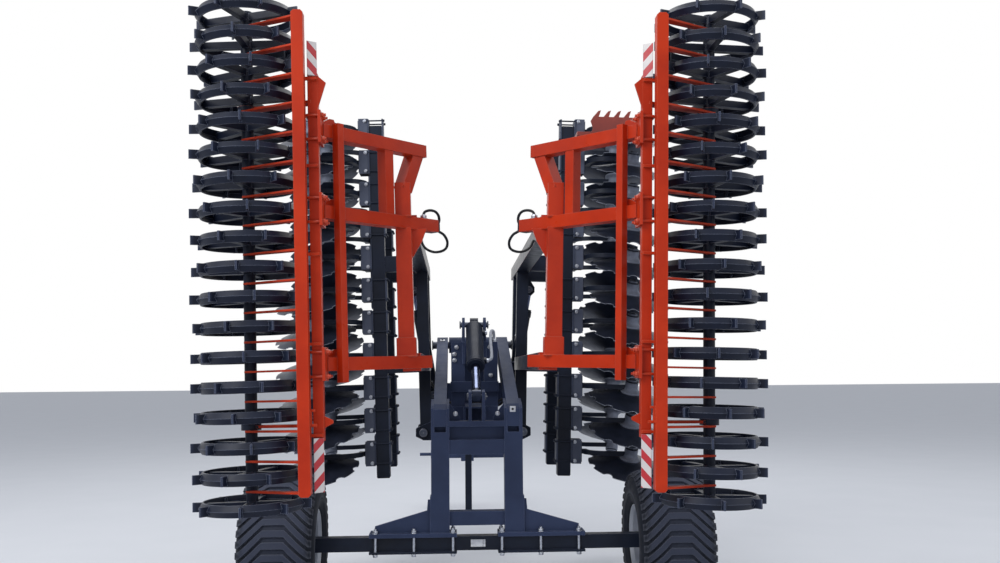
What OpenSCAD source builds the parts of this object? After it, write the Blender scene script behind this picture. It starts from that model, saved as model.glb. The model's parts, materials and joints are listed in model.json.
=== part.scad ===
// Trailed folding disc harrow, stored on its two wheels and its front parking leg.
// X points to the machine's right, Y in the direction of travel and Z up.
// The origin is on the ground under the middle of the whole machine.
// A wing is drawn folded up, as it is stored, and leans out a little at its top.

/* [Disc rows] */
// Distance between neighbouring discs of a row
disc_pitch = 250; // [220:5:260]
// Discs in each row of one wing
disc_n = 11; // [6:1:11]
// Diameter of a disc over its teeth
disc_d = 610; // [540:10:620]
// Thickness of a disc
disc_t = 6; // [4:0.5:9]
// Depth of a disc's dish
disc_dish = 62; // [40:2:80]
// Teeth round a disc
disc_teeth = 10; // [6:1:12]
// Angle of a disc to the direction of travel
disc_angle = 17; // [8:1:20]
// Lean of a disc off upright when it works
disc_camber = 8; // [0:1:12]
// Width of a disc beam's square section
disc_beam_w = 100; // [80:5:110]
// Distance between the front and rear disc beams
row_gap = 900; // [840:10:1000]
// Distance that a hub trails behind its beam
hub_trail = 200; // [160:5:230]
// Width of a disc arm's bar
arm_bar = 34; // [24:1:44]

/* [Ring rollers] */
// Rings on each roller
ring_n = 18; // [8:1:18]
// Distance between neighbouring rings
ring_pitch = 150; // [140:1:170]
// Radius of a ring at its ridge
ring_r = 264; // [250:1:270]
// Width of a ring's folded strip
ring_w = 60; // [40:1:70]
// Thickness of a ring's strip
ring_t = 9; // [6:1:14]
// Height of a lug above the ridge
lug_h = 36; // [20:1:42]
// Lugs on each ring
lug_n = 8; // [4:1:12]
// Outer diameter of the roller's tube
roller_tube_d = 62; // [50:1:90]
// Width of a ring's spokes
spoke_w = 38; // [20:1:46]

/* [Wing frame] */
// Height of the fold pins above the ground
fold_pin_z = 1110; // [1090:5:1130]
// Distance of a fold pin from the middle of the machine
fold_pin_x = 390; // [380:5:400]
// Angle that a folded wing leans out from upright
wing_lean = 1.5; // [0:0.1:2.5]
// Diameter of the fold pins
fold_pin_d = 50; // [40:1:60]
// Width of the square tubes that carry the roller
roller_arm_w = 70; // [60:1:80]
// Width of the square beam that carries the scrapers
scraper_beam_w = 60; // [50:1:64]
// Width of the square beam that the roller arms clamp
clamp_beam_w = 52; // [46:1:58]
// Width of the square tubes along the machine in each wing
long_tube_w = 100; // [80:5:110]
// Wall of the open square tubes
tube_wall = 8; // [5:1:10]

/* [Running gear] */
// Radius of a tyre
tyre_r = 466; // [440:2:470]
// Width of a tyre
tyre_w = 480; // [420:5:490]
// Distance of a tyre's middle from the middle of the machine
wheel_x = 1260; // [1255:5:1280]
// Radius of a rim at the bead
rim_r = 216; // [200:2:230]
// Width of the axle's square section
axle_w = 90; // [80:2:100]
// Width of the running gear's uprights
upright_w = 120; // [100:2:130]

/* [Middle frame and drawbar] */
// Width of the main beam
main_beam_w = 160; // [140:5:180]
// Height of the main beam
main_beam_h = 200; // [160:5:220]
// Distance from the axle to the lower link pins
hitch_y = 5300; // [5000:20:5500]
// Height of the lower link pins above the ground
hitch_z = 600; // [560:10:650]
// Diameter of the lower link pins
link_pin_d = 36.6; // [28:0.1:37]
// Distance between the inner shoulders of the lower link pins
link_spread = 865; // [700:5:900]
// Width of the parking leg's square tube
leg_w = 70; // [60:2:80]

/* [Hidden] */
$fn = 48;

// Colours of the real finishes
orange = "#d8472b";
graphite = "#3b4356";
black = "#1d2024";
steel = "#8b93a0";
chrome = "#d5dae2";

// Fits
turn_gap = 0.3;   // round faces that turn on each other
slide_gap = 0.3;  // a square tube in its sleeve
eps = 0.5;        // how far a cut runs past the face that it opens

// Places along the machine, measured from the axle
roller_y = -1480;
scraper_beam_y = roller_y - 210;
clamp_beam_y = roller_y - 140;
rear_beam_y = 1040;
front_beam_y = rear_beam_y + row_gap;
hinge_ys = [1250, 1750];
lug_tip_r = ring_r + lug_h;
hitch_bar_w = 90;
front_end = hitch_y + hitch_bar_w / 2;
rear_end = roller_y - lug_tip_r;
y_shift = -(front_end + rear_end) / 2;

// Places across a folded wing, before it leans
scraper_beam_x = 880;
clamp_beam_x = 816;
roller_x = 1181;
disc_beam_x = 695;
hub_x = 1181;
long_x = 370;
spine_x = 394;
spine_y = -1104;

// Places up a folded wing
ring_z0 = fold_pin_z - 170;
disc_z0 = fold_pin_z - 133;
arm_zs = [fold_pin_z + 531, fold_pin_z + 1314, fold_pin_z + 1740];
disc_beam_z0 = disc_z0 - 180;
disc_beam_len = (disc_n - 1) * disc_pitch + 211;
hub_back = 48;                // a hub's length behind its pivot point
hub_front = 44;               // and ahead of it, where its disc is bolted on

// Roller arms: they run inward and forward from the clamp beam
arm_in_x = 298;
arm_in_y = -1010;
arm_out_x = clamp_beam_x;
arm_out_y = clamp_beam_y + 35;
arm_run = [arm_in_x - arm_out_x, arm_in_y - arm_out_y];
arm_len = norm(arm_run);
arm_dir = atan2(arm_run[1], arm_run[0]);
clamp_z0 = ring_z0 + 320;
clamp_len = (ring_n - 1) * ring_pitch - 678;

// Running gear
gear_pivot = [1550, 1800];   // its pivot in the middle frame, as Y and Z
gear_x = 242;                // middle of its uprights
elbow_z = 1187;              // top of its uprights
foot_z = tyre_r + axle_w / 2;
lift_eye = [-60, 1420];      // eye of the lift cylinder's rod, as Y and Z
lift_top = [700, 1929];      // pin of its barrel
lift_len = norm(lift_top - lift_eye);
lift_tilt = atan2(lift_top[1] - lift_eye[1], lift_top[0] - lift_eye[0]);
lift_eye_w = 60;

// Fold cylinders, as X and Z at their middle row
fold_cyl_y = (hinge_ys[0] + hinge_ys[1]) / 2;
fold_foot = [318, fold_pin_z + 290];
head_up = [50, 1140];        // its head from the fold pin, before the wing leans
fold_head = [
    fold_pin_x + head_up[0] * cos(wing_lean) + head_up[1] * sin(wing_lean),
    fold_pin_z - head_up[0] * sin(wing_lean) + head_up[1] * cos(wing_lean),
];
fold_eye_w = 60;
fold_len = norm(fold_head - fold_foot);
fold_tilt = atan2(fold_head[0] - fold_foot[0], fold_head[1] - fold_foot[1]);

leg_y = 4300;
drawbar_y0 = 2350;
drawbar_z = [760, 920];      // bottom and top of its level part
drawbar_run = 1000;          // length of its slope

// Shared helpers

module machine() {
    translate([0, y_shift, 0])
    children();
}

// Mirrors its children to the machine's left when side is below zero
module to_side(side) {
    if (side > 0)
        machine() children();
    else
        mirror([1, 0, 0])
        machine() children();
}

// Leans a folded wing out about its fold pin
module on_wing(side) {
    to_side(side)
    translate([fold_pin_x, 0, fold_pin_z])
    rotate([0, wing_lean, 0])
    translate([-fold_pin_x, 0, -fold_pin_z])
    children();
}

// A bar centred on the line from its start, running up by len
module post(x, y, z, wx, wy, len) {
    translate([x - wx / 2, y - wy / 2, z])
    cube([wx, wy, len]);
}

// A bar along Y
module rail(x, y, z, wx, wz, len) {
    translate([x - wx / 2, y, z - wz / 2])
    cube([wx, len, wz]);
}

// A bar along X, centred on the middle of the machine
module cross(y, z, wy, wz, len) {
    translate([-len / 2, y - wy / 2, z - wz / 2])
    cube([len, wy, wz]);
}

// A square bar of width w from point a to point b
module bar(a, b, w) {
    run = b - a;
    translate(a)
    rotate([0, acos(run[2] / norm(run)), atan2(run[1], run[0])])
    translate([-w / 2, -w / 2, 0])
    cube([w, w, norm(run)]);
}

// A round bar along X, centred
module rod_x(y, z, d, len) {
    translate([-len / 2, y, z])
    rotate([0, 90, 0])
    cylinder(h = len, d = d);
}

// A round bar along Y from its near end
module rod_y(x, y, z, d, len) {
    translate([x, y, z])
    rotate([-90, 0, 0])
    cylinder(h = len, d = d);
}

// A plate with an outline in Y and Z, centred at x
module side_plate(x, t, outline) {
    translate([x - t / 2, 0, 0])
    rotate([90, 0, 90])
    linear_extrude(t)
    polygon(outline);
}

// A plate with an outline in X and Z, centred at y
module back_plate(y, t, outline) {
    translate([0, y + t / 2, 0])
    rotate([90, 0, 0])
    linear_extrude(t)
    polygon(outline);
}

// Middle frame

module hinge_fork(y) {
    for (s = [-1, 1])
        difference() {
            back_plate(y + s * 55, 24, [
                [290, fold_pin_z - 60], [fold_pin_x, fold_pin_z - 60],
                [fold_pin_x + 60, fold_pin_z - 30], [fold_pin_x + 60, fold_pin_z + 30],
                [fold_pin_x, fold_pin_z + 60], [290, fold_pin_z + 100],
            ]);
            rod_y(fold_pin_x, y - 80, fold_pin_z, fold_pin_d + 2 * turn_gap, 160);
        }
}

module centre_frame() {
    beam_z = 1230;
    color(graphite)
    machine()
    difference() {
        union() {
            rail(0, 560, beam_z, main_beam_w, main_beam_h, drawbar_y0 - 560);
            for (y = hinge_ys) {
                cross(y, fold_pin_z + 20, 90, 120, 600);
                for (s = [0, 1])
                    mirror([s, 0, 0])
                    hinge_fork(y);
            }
            // Tower that carries the running gear's pivot tube
            post(0, gear_pivot[0], beam_z + main_beam_h / 2 - 1, 240, 140,
                gear_pivot[1] - beam_z - main_beam_h / 2);
            rod_x(gear_pivot[0], gear_pivot[1], 130, 380);
            // Columns that hold the lift cylinder between them, and the fold cylinders' feet
            for (s = [0, 1])
                mirror([s, 0, 0]) {
                    translate([100, fold_cyl_y - 60, fold_foot[1] - 90])
                    cube([130, 120, 180]);
                    for (e = [-1, 1])
                        back_plate(fold_cyl_y + e * (fold_eye_w / 2 + 15), 20, [
                            [200, fold_foot[1] - 80], [fold_foot[0] + 25, fold_foot[1] - 45],
                            [fold_foot[0] + 48, fold_foot[1] - 18],
                            [fold_foot[0] + 48, fold_foot[1] + 18],
                            [fold_foot[0] + 25, fold_foot[1] + 42], [200, fold_foot[1] + 80],
                        ]);
                    translate([main_beam_w / 2 - 10, 620, beam_z - 60])
                    cube([100, 140, 630]);
                    side_plate(78, 20, [
                        [600, 1640], [780, 1640], [1500, 1600], [1500, 1700],
                        [lift_top[0] + 55, lift_top[1] + 30], [lift_top[0] + 30, lift_top[1] + 52],
                        [lift_top[0] - 30, lift_top[1] + 52], [lift_top[0] - 55, lift_top[1] + 30],
                    ]);
                }
            // Bar that joins the columns' rear faces
            cross(604, 1475, 38, 74, 350);
        }
        rod_x(gear_pivot[0], gear_pivot[1], 60 + 2 * turn_gap, 500);
        rod_x(lift_top[0], lift_top[1], 40 + 2 * turn_gap, 400);
        for (s = [-1, 1])
            rod_y(s * fold_foot[0], fold_cyl_y - 80, fold_foot[1], 40 + 2 * turn_gap, 160);
        // The bore of the main beam shows at its rear end
        rail(0, 560 - eps, beam_z, main_beam_w - 24, main_beam_h - 24, 120);
    }
}

module hinge_pins() {
    color(steel)
    machine() {
        for (y = hinge_ys)
            for (s = [-1, 1])
                rod_y(s * fold_pin_x, y - 78, fold_pin_z, fold_pin_d, 156);
        rod_x(gear_pivot[0], gear_pivot[1], 60, 640);
        rod_x(lift_top[0], lift_top[1], 40, 196);
        for (s = [-1, 1])
            rod_y(s * fold_foot[0], fold_cyl_y - 58, fold_foot[1], 40, 116);
    }
}

module drawbar() {
    head_y = hitch_y - 190;
    z0 = drawbar_z[0];
    h = drawbar_z[1] - drawbar_z[0];
    color(graphite)
    machine()
    difference() {
        union() {
            // The first part slopes down and the second lies level
            side_plate(0, main_beam_w, [
                [drawbar_y0, 1130], [drawbar_y0, 1330], [drawbar_y0 + 120, 1330],
                [drawbar_y0 + drawbar_run + 50, drawbar_z[1]], [head_y - 140, drawbar_z[1]],
                [head_y - 140, z0], [drawbar_y0 + drawbar_run, z0],
            ]);
            // Head with the upright bore of the hitch pin
            translate([-70, head_y - 145, z0])
            cube([140, 134, h]);
            translate([0, head_y, z0])
            cylinder(h = h, d = 150);
        }
        translate([0, head_y, z0 - 50])
        cylinder(h = h + 100, d = 60 + 2 * turn_gap);
        translate([-leg_w / 2 - 12, leg_y - leg_w / 2 - 12, z0 - 50])
        cube([leg_w + 24, leg_w + 24, h + 100]);
    }
}

module leg_sleeve() {
    inner = leg_w + 2 * slide_gap;
    color(graphite)
    machine()
    difference() {
        union() {
            post(0, leg_y, drawbar_z[0] - 60, leg_w + 24, leg_w + 24, 330);
            post(0, leg_y, drawbar_z[1], leg_w + 60, leg_w + 60, 14);
        }
        post(0, leg_y, drawbar_z[0] - 61, inner, inner, 340);
    }
}

module parking_leg() {
    color(black)
    machine() {
        difference() {
            post(0, leg_y, 10, leg_w, leg_w, drawbar_z[1] + 170);
            post(0, leg_y, 60, leg_w - 12, leg_w - 12, drawbar_z[1] + 170);
        }
        post(0, leg_y, 0, 170, 170, 12);
    }
}

module hitch_bar() {
    yoke_y = hitch_y - 190;
    color(graphite)
    machine()
    difference() {
        union() {
            for (z = [drawbar_z[0] - 25 - 1, drawbar_z[1] + 1])
                translate([0, 0, z])
                linear_extrude(25)
                union() {
                    translate([0, yoke_y])
                    circle(d = 150);
                    translate([-75, yoke_y])
                    square([150, 150]);
                }
            translate([0, yoke_y, drawbar_z[0] - 60])
            cylinder(h = drawbar_z[1] - drawbar_z[0] + 120, d = 60);
            post(0, yoke_y + 160, hitch_z - 80, 150, 90, drawbar_z[1] + 26 - hitch_z + 80);
            cross(hitch_y, hitch_z, hitch_bar_w, hitch_bar_w, link_spread);
            rod_x(hitch_y, hitch_z, link_pin_d, link_spread + 260);
        }
        for (s = [-1, 1])
            translate([s * (link_spread / 2 + 110), hitch_y, hitch_z - 30])
            cylinder(h = 60, d = 12);
    }
}

// Height of the drawbar's sloping top
function slope_z(y) = 1330 - (y - drawbar_y0 - 120) * (1330 - drawbar_z[1]) / (drawbar_run - 70);

module valve_plate() {
    y = 3050;
    color(black)
    machine() {
        side_plate(0, 100, [
            [y - 60, slope_z(y - 60) + 0.2], [y + 60, slope_z(y + 60) + 0.2],
            [y + 60, slope_z(y + 60) + 12],
            [y + 6, slope_z(y - 60) + 12], [y - 60, slope_z(y - 60) + 12],
        ]);
        post(0, y, slope_z(y - 60) + 2, 220, 12, 240);
        post(0, y + 26, slope_z(y - 60) + 130, 160, 40, 70);
    }
}

// Lift cylinder

module cylinder_frame(foot, tilt) {
    translate([0, foot[0], foot[1]])
    rotate([tilt - 90, 0, 0])
    children();
}

module lift_barrel() {
    color(black)
    machine()
    cylinder_frame(lift_eye, lift_tilt) {
        difference() {
            union() {
                translate([0, 0, 370])
                cylinder(h = lift_len - 370 - 45, d = 122);
                translate([0, 0, 362])
                cylinder(h = 40, d = 130);
                translate([-lift_eye_w / 2, 0, lift_len])
                rotate([0, 90, 0])
                cylinder(h = lift_eye_w, d = 100);
            }
            translate([0, 0, 361])
            cylinder(h = lift_len - 361 - 75, d = 60 + 2 * turn_gap);
            translate([-100, 0, lift_len])
            rotate([0, 90, 0])
            cylinder(h = 200, d = 40 + 2 * turn_gap);
        }
    }
}

module lift_rod() {
    color(chrome)
    machine()
    cylinder_frame(lift_eye, lift_tilt)
    difference() {
        union() {
            translate([0, 0, 35])
            cylinder(h = 620, d = 60);
            translate([-lift_eye_w / 2, 0, 0])
            rotate([0, 90, 0])
            cylinder(h = lift_eye_w, d = 90);
        }
        translate([-100, 0, 0])
        rotate([0, 90, 0])
        cylinder(h = 200, d = 44);
    }
}

// Running gear

module running_frame() {
    inner = gear_x - upright_w / 2;
    color(graphite)
    machine()
    difference() {
        union() {
            for (s = [0, 1])
                mirror([s, 0, 0]) {
                    // Upright
                    post(gear_x, 0, foot_z + 26, upright_w, upright_w, elbow_z - foot_z - 26);
                    // Arm that runs forward and up to the pivot
                    side_plate(gear_x, 86, [
                        [-60, elbow_z - 60], [-60, elbow_z + 150], [-20, elbow_z + 184],
                        [gear_pivot[0] - 70, gear_pivot[1] + 60], [gear_pivot[0], gear_pivot[1] + 65],
                        [gear_pivot[0] + 65, gear_pivot[1]], [gear_pivot[0], gear_pivot[1] - 65],
                        [60, elbow_z + 40], [60, elbow_z - 60],
                    ]);
                    // Ears that lap the elbow on both sides
                    for (e = [-1, 1])
                        side_plate(gear_x + e * (upright_w / 2 - 8), 16, [
                            [-60, elbow_z - 10], [-60, elbow_z + 156], [-30, elbow_z + 176],
                            [120, elbow_z + 214], [120, elbow_z + 60], [60, elbow_z - 10],
                        ]);
                    // Foot plate, wing gusset and stiffener
                    translate([135, -80, foot_z])
                    cube([570, 160, 26]);
                    back_plate(-30, 15, [
                        [gear_x + 30, foot_z + 20], [669, foot_z + 20], [669, 582],
                        [gear_x + 88, 679], [gear_x + 82, 749], [gear_x + 30, 749],
                    ]);
                    translate([gear_x + 31, -60, foot_z + 20])
                    cube([36, 120, 240]);
                    // Gusset in the corner of the cross plate
                    back_plate(0, 15, [
                        [inner + 20, elbow_z - 22], [inner - 10, elbow_z - 22], [inner - 70, elbow_z + 40],
                        [inner - 72, elbow_z + 96], [inner - 4, elbow_z + 182],
                        [inner + 20, elbow_z + 182],
                    ]);
                }
            cross(0, 1089, 108, 96, 2 * inner + 4);
            cross(0, 626, 90, 90, 2 * inner + 4);
            cross(0, 1241, 120, 36, 2 * inner + 4);
            cross(25, 1180, 70, 100, 2 * inner + 4);
            for (s = [-1, 1])
                side_plate(s * (lift_eye_w / 2 + 14), 20, [
                    [-55, 1240], [-115, 1400], [-100, 1450], [-60, 1465], [-15, 1450], [5, 1400],
                    [55, 1240],
                ]);
        }
        rod_x(gear_pivot[0], gear_pivot[1], 60 + 2 * turn_gap, 800);
        // Pocket that shows as a dark slot at the elbow
        for (s = [-1, 1])
            translate([s * gear_x - 38, -61, elbow_z])
            cube([76, 50, 37]);
        rod_x(lift_eye[0], lift_eye[1], 30, 120);
    }
}

module axle() {
    stub = wheel_x + 60;
    color(black)
    machine() {
        cross(0, tyre_r, axle_w, axle_w, 2 * (wheel_x - 132));
        rod_x(0, tyre_r, 60, 2 * stub);
        // Lower clamp plates
        for (s = [0, 1])
            mirror([s, 0, 0])
            translate([135, -80, tyre_r - axle_w / 2 - 14])
            cube([570, 160, 14]);
    }
}

module tyre(side) {
    half = tyre_w / 2;
    color(black)
    to_side(side)
    translate([wheel_x, 0, tyre_r])
    rotate([0, 90, 0])
    rotate_extrude($fn = 96)
    polygon([
        [rim_r + 2, -half + 50], [rim_r + 40, -half + 12], [rim_r + 120, -half],
        [tyre_r - 70, -half + 6], [tyre_r - 26, -half + 30], [tyre_r - 8, -half + 90], [tyre_r, 0],
        [tyre_r - 8, half - 90], [tyre_r - 26, half - 30], [tyre_r - 70, half - 6],
        [rim_r + 120, half], [rim_r + 40, half - 12], [rim_r + 2, half - 50],
        [rim_r + 22, half - 70], [rim_r + 22, -half + 70],
    ]);
}

module rim(side) {
    half = tyre_w / 2;
    seat = rim_r + 1.7;
    color(steel)
    to_side(side)
    translate([wheel_x, 0, tyre_r])
    rotate([0, 90, 0])
    difference() {
        union() {
            rotate_extrude($fn = 72)
            polygon([
                [rim_r + 12, -half + 28], [rim_r + 12, -half + 38], [seat, -half + 50],
                [seat, -half + 90], [rim_r - 22, -half + 120], [rim_r - 22, half - 120],
                [seat, half - 90], [seat, half - 50], [rim_r + 12, half - 38],
                [rim_r + 12, half - 28], [rim_r - 8, half - 50], [rim_r - 8, half - 94],
                [rim_r - 32, half - 124], [rim_r - 32, -half + 124], [rim_r - 8, -half + 94],
                [rim_r - 8, -half + 50],
            ]);
            // Dished wheel disc
            rotate_extrude($fn = 72)
            polygon([
                [40, 20], [120, 20], [150, 60], [rim_r - 30, 60], [rim_r - 30, 70], [144, 70],
                [114, 30], [40, 30],
            ]);
            // Hub
            translate([0, 0, -120])
            cylinder(h = 190, d = 130);
            translate([0, 0, 4])
            cylinder(h = 16, d = 210);
            translate([0, 0, 70])
            cylinder(h = 24, d = 90);
        }
        translate([0, 0, -121])
        cylinder(h = 190, d = 60 + 2 * turn_gap);
    }
}

// Wings

// Places its children at a roller arm's outer end, with X along the arm
module at_arm(z) {
    translate([arm_out_x, arm_out_y, z])
    rotate([0, 0, arm_dir])
    children();
}

module wing_frame(side) {
    w = roller_arm_w;
    tie_u = 111;
    link_u = 502;
    inner_len = [0, 95, 0];
    color(orange)
    on_wing(side) {
        for (i = [0:2])
            at_arm(arm_zs[i]) {
                translate([30, -w / 2, -w / 2])
                cube([arm_len - 30 + 25 + inner_len[i], w, w]);
                // Gusset on the arm's top, rising from the flange to the tie tube
                translate([0, -6, 0])
                rotate([90, 0, 0])
                translate([0, 0, -12])
                linear_extrude(12)
                polygon([
                    [32, w / 2 - 1], [32, w / 2 + 6], [tie_u - 14, w / 2 + 40],
                    [tie_u + 14, w / 2 + 40], [tie_u + 36, w / 2 - 1],
                ]);
            }
        // Flanges that the bow bolts draw to the clamp beam
        for (z = arm_zs)
            translate([clamp_beam_x - clamp_beam_w / 2 - 16, clamp_beam_y - 55, z - 84])
            cube([15.7, 130, 168]);
        at_arm(arm_zs[0])
        translate([tie_u - 20, w / 2 - 4, -96])
        cube([40, 44, arm_zs[2] - arm_zs[0] + 101 + w / 2]);
        at_arm(arm_zs[1])
        translate([link_u - 31, -31, w / 2 - 6])
        cube([62, 62, arm_zs[2] - arm_zs[1] - w + 12]);
        // Spine that stands on the lowest arm and passes the middle one
        post(spine_x, spine_y, arm_zs[0] + w / 2 - 7, 88, 88, arm_zs[1] - arm_zs[0] - w + 14);
        post(spine_x, spine_y, arm_zs[0] + w / 2 - 5, 108, 108, 105);
        post(spine_x, spine_y, arm_zs[1] + w / 2 - 7, 88, 88, 197);
        bar([spine_x, spine_y, arm_zs[1] + w / 2 + 150], [arm_in_x + 24, arm_in_y - 10, arm_zs[2] - 5], 76);
        // Gusset under the middle arm's inner end
        back_plate(spine_y + 30, 16, [
            [spine_x - 40, arm_zs[1] - w / 2 + 4], [spine_x - 40, arm_zs[1] - w / 2 - 170],
            [spine_x - 100, arm_zs[1] - w / 2 - 70], [spine_x - 128, arm_zs[1] - w / 2 + 4],
        ]);
        // Tubes along the machine that join the roller frame to the disc frame; the lower
        // one leaves the fold cylinder room between the hinge arms
        rail(long_x, arm_in_y - 60, arm_zs[1], long_tube_w, long_tube_w,
            front_beam_y + 110 - arm_in_y);
        rail(long_x, arm_in_y - 60, arm_zs[0], long_tube_w, long_tube_w,
            hinge_ys[0] + 100 - arm_in_y);
        rail(long_x, hinge_ys[1] - 40, arm_zs[0], long_tube_w, long_tube_w,
            front_beam_y + 90 - hinge_ys[1]);
    }
}

module wing_frame_left() { wing_frame(-1); }
module wing_frame_right() { wing_frame(1); }

module disc_frame(side) {
    w = disc_beam_w;
    lw = long_tube_w;
    head = [fold_pin_x + head_up[0], fold_pin_z + head_up[1]];
    color(black)
    on_wing(side)
    difference() {
        union() {
            for (y = [rear_beam_y, front_beam_y]) {
                post(disc_beam_x, y, disc_beam_z0, w, w, disc_beam_len);
                for (z = [arm_zs[0], arm_zs[1]])
                    translate([long_x + lw / 2, y - 45, z - 60])
                    cube([disc_beam_x - w / 2 - long_x - lw / 2 + 1, 90, 120]);
            }
            for (y = hinge_ys) {
                post(long_x, y, fold_pin_z + 30, 90, 80, arm_zs[0] - lw / 2 - fold_pin_z - 30);
                post(long_x, y, arm_zs[0] + lw / 2, 90, 80, arm_zs[1] - arm_zs[0] - lw);
                rod_y(fold_pin_x, y - 40, fold_pin_z, 110, 80);
            }
            // Ears for the fold cylinder's head, under the middle tube
            for (e = [-1, 1])
                back_plate(fold_cyl_y + e * (fold_eye_w / 2 + 15), 20, [
                    [long_x - 40, arm_zs[1] - lw / 2], [long_x + 50, arm_zs[1] - lw / 2],
                    [head[0] + 45, head[1] + 20], [head[0] + 45, head[1] - 20],
                    [head[0] + 20, head[1] - 45], [head[0] - 20, head[1] - 45],
                    [head[0] - 45, head[1] - 15],
                ]);
        }
        rod_y(head[0], fold_cyl_y - 80, head[1], 42, 160);
        for (y = hinge_ys)
            rod_y(fold_pin_x, y - 80, fold_pin_z, fold_pin_d + 2 * turn_gap, 160);
    }
}

module disc_frame_left() { disc_frame(-1); }
module disc_frame_right() { disc_frame(1); }

module arm_clamps(side) {
    w = disc_beam_w;
    color(graphite)
    on_wing(side)
    for (y = [rear_beam_y, front_beam_y])
        for (i = [0:disc_n - 1]) {
            z = disc_z0 + i * disc_pitch;
            // Housing with the rubber cords, and the strap over the beam's outer face
            translate([disc_beam_x + w / 2, y - 62, z - 88])
            cube([14, 124, 176]);
            translate([disc_beam_x + w / 2 + 14, y - 50, z - 78])
            cube([72, 100, 156]);
            // Strap on the beam's inner face, left out where a bracket meets the beam
            if (min([for (a = [arm_zs[0], arm_zs[1]]) abs(z - a)]) > 150)
            translate([disc_beam_x - w / 2 - 12, y - 62, z - 88])
            cube([12, 124, 176]);
        }
}

module arm_clamps_left() { arm_clamps(-1); }
module arm_clamps_right() { arm_clamps(1); }

// One bent arm with its hub, for a disc on the side given by s
module disc_arm(y, z, s) {
    r = 150;
    bend_x = disc_beam_x + disc_beam_w / 2 + 86 + arm_bar / 2 + 10;
    translate([bend_x - arm_bar / 2 - 10, y - 40, z - arm_bar / 2])
    cube([arm_bar + 10, 60, arm_bar]);
    translate([bend_x + r, y - hub_trail + r, z])
    rotate([0, 0, 180])
    rotate_extrude(angle = 90)
    translate([r - arm_bar / 2, -arm_bar / 2])
    square(arm_bar);
    translate([bend_x, y - hub_trail + r - 1, z - arm_bar / 2])
    translate([-arm_bar / 2, 0, 0])
    cube([arm_bar, hub_trail - r - 20, arm_bar]);
    translate([bend_x + r - 1, y - hub_trail - arm_bar / 2, z - arm_bar / 2])
    cube([hub_x - bend_x - r, arm_bar, arm_bar]);
    at_hub(y, z, s)
    translate([0, 0, -hub_back])
    cylinder(h = hub_back + hub_front, d = 96);
}

// Places its children at a hub, with Z along the disc's axis towards the disc
module at_hub(y, z, s) {
    translate([hub_x, y - hub_trail, z])
    rotate([s * disc_angle, disc_camber, 0])
    mirror([0, 0, s < 0 ? 0 : 1])
    children();
}

module disc() {
    r = disc_d / 2;
    flat = 95;
    z0 = hub_front;
    difference() {
        rotate_extrude($fn = 60)
        polygon([
            [0, z0], [flat, z0], [r, z0 + disc_dish], [r, z0 + disc_dish + disc_t * 0.6],
            [flat - 2, z0 + disc_t], [0, z0 + disc_t],
        ]);
        for (i = [0:disc_teeth - 1])
            rotate([0, 0, (i + 0.5) * 360 / disc_teeth])
            translate([r + 12, 0, 0])
            cylinder(h = 300, r = 38, $fn = 24);
    }
}

module front_arms(side) {
    color(black)
    on_wing(side)
    for (i = [0:disc_n - 1])
        disc_arm(front_beam_y, disc_z0 + i * disc_pitch, -1);
}

module rear_arms(side) {
    color(black)
    on_wing(side)
    for (i = [0:disc_n - 1])
        disc_arm(rear_beam_y, disc_z0 + i * disc_pitch, 1);
}

module front_discs(side) {
    color(steel)
    on_wing(side)
    for (i = [0:disc_n - 1])
        at_hub(front_beam_y, disc_z0 + i * disc_pitch, -1)
        disc();
}

module rear_discs(side) {
    color(steel)
    on_wing(side)
    for (i = [0:disc_n - 1])
        at_hub(rear_beam_y, disc_z0 + i * disc_pitch, 1)
        disc();
}

module front_arms_left() { front_arms(-1); }
module front_arms_right() { front_arms(1); }
module rear_arms_left() { rear_arms(-1); }
module rear_arms_right() { rear_arms(1); }
module front_discs_left() { front_discs(-1); }
module front_discs_right() { front_discs(1); }
module rear_discs_left() { rear_discs(-1); }
module rear_discs_right() { rear_discs(1); }

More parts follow.
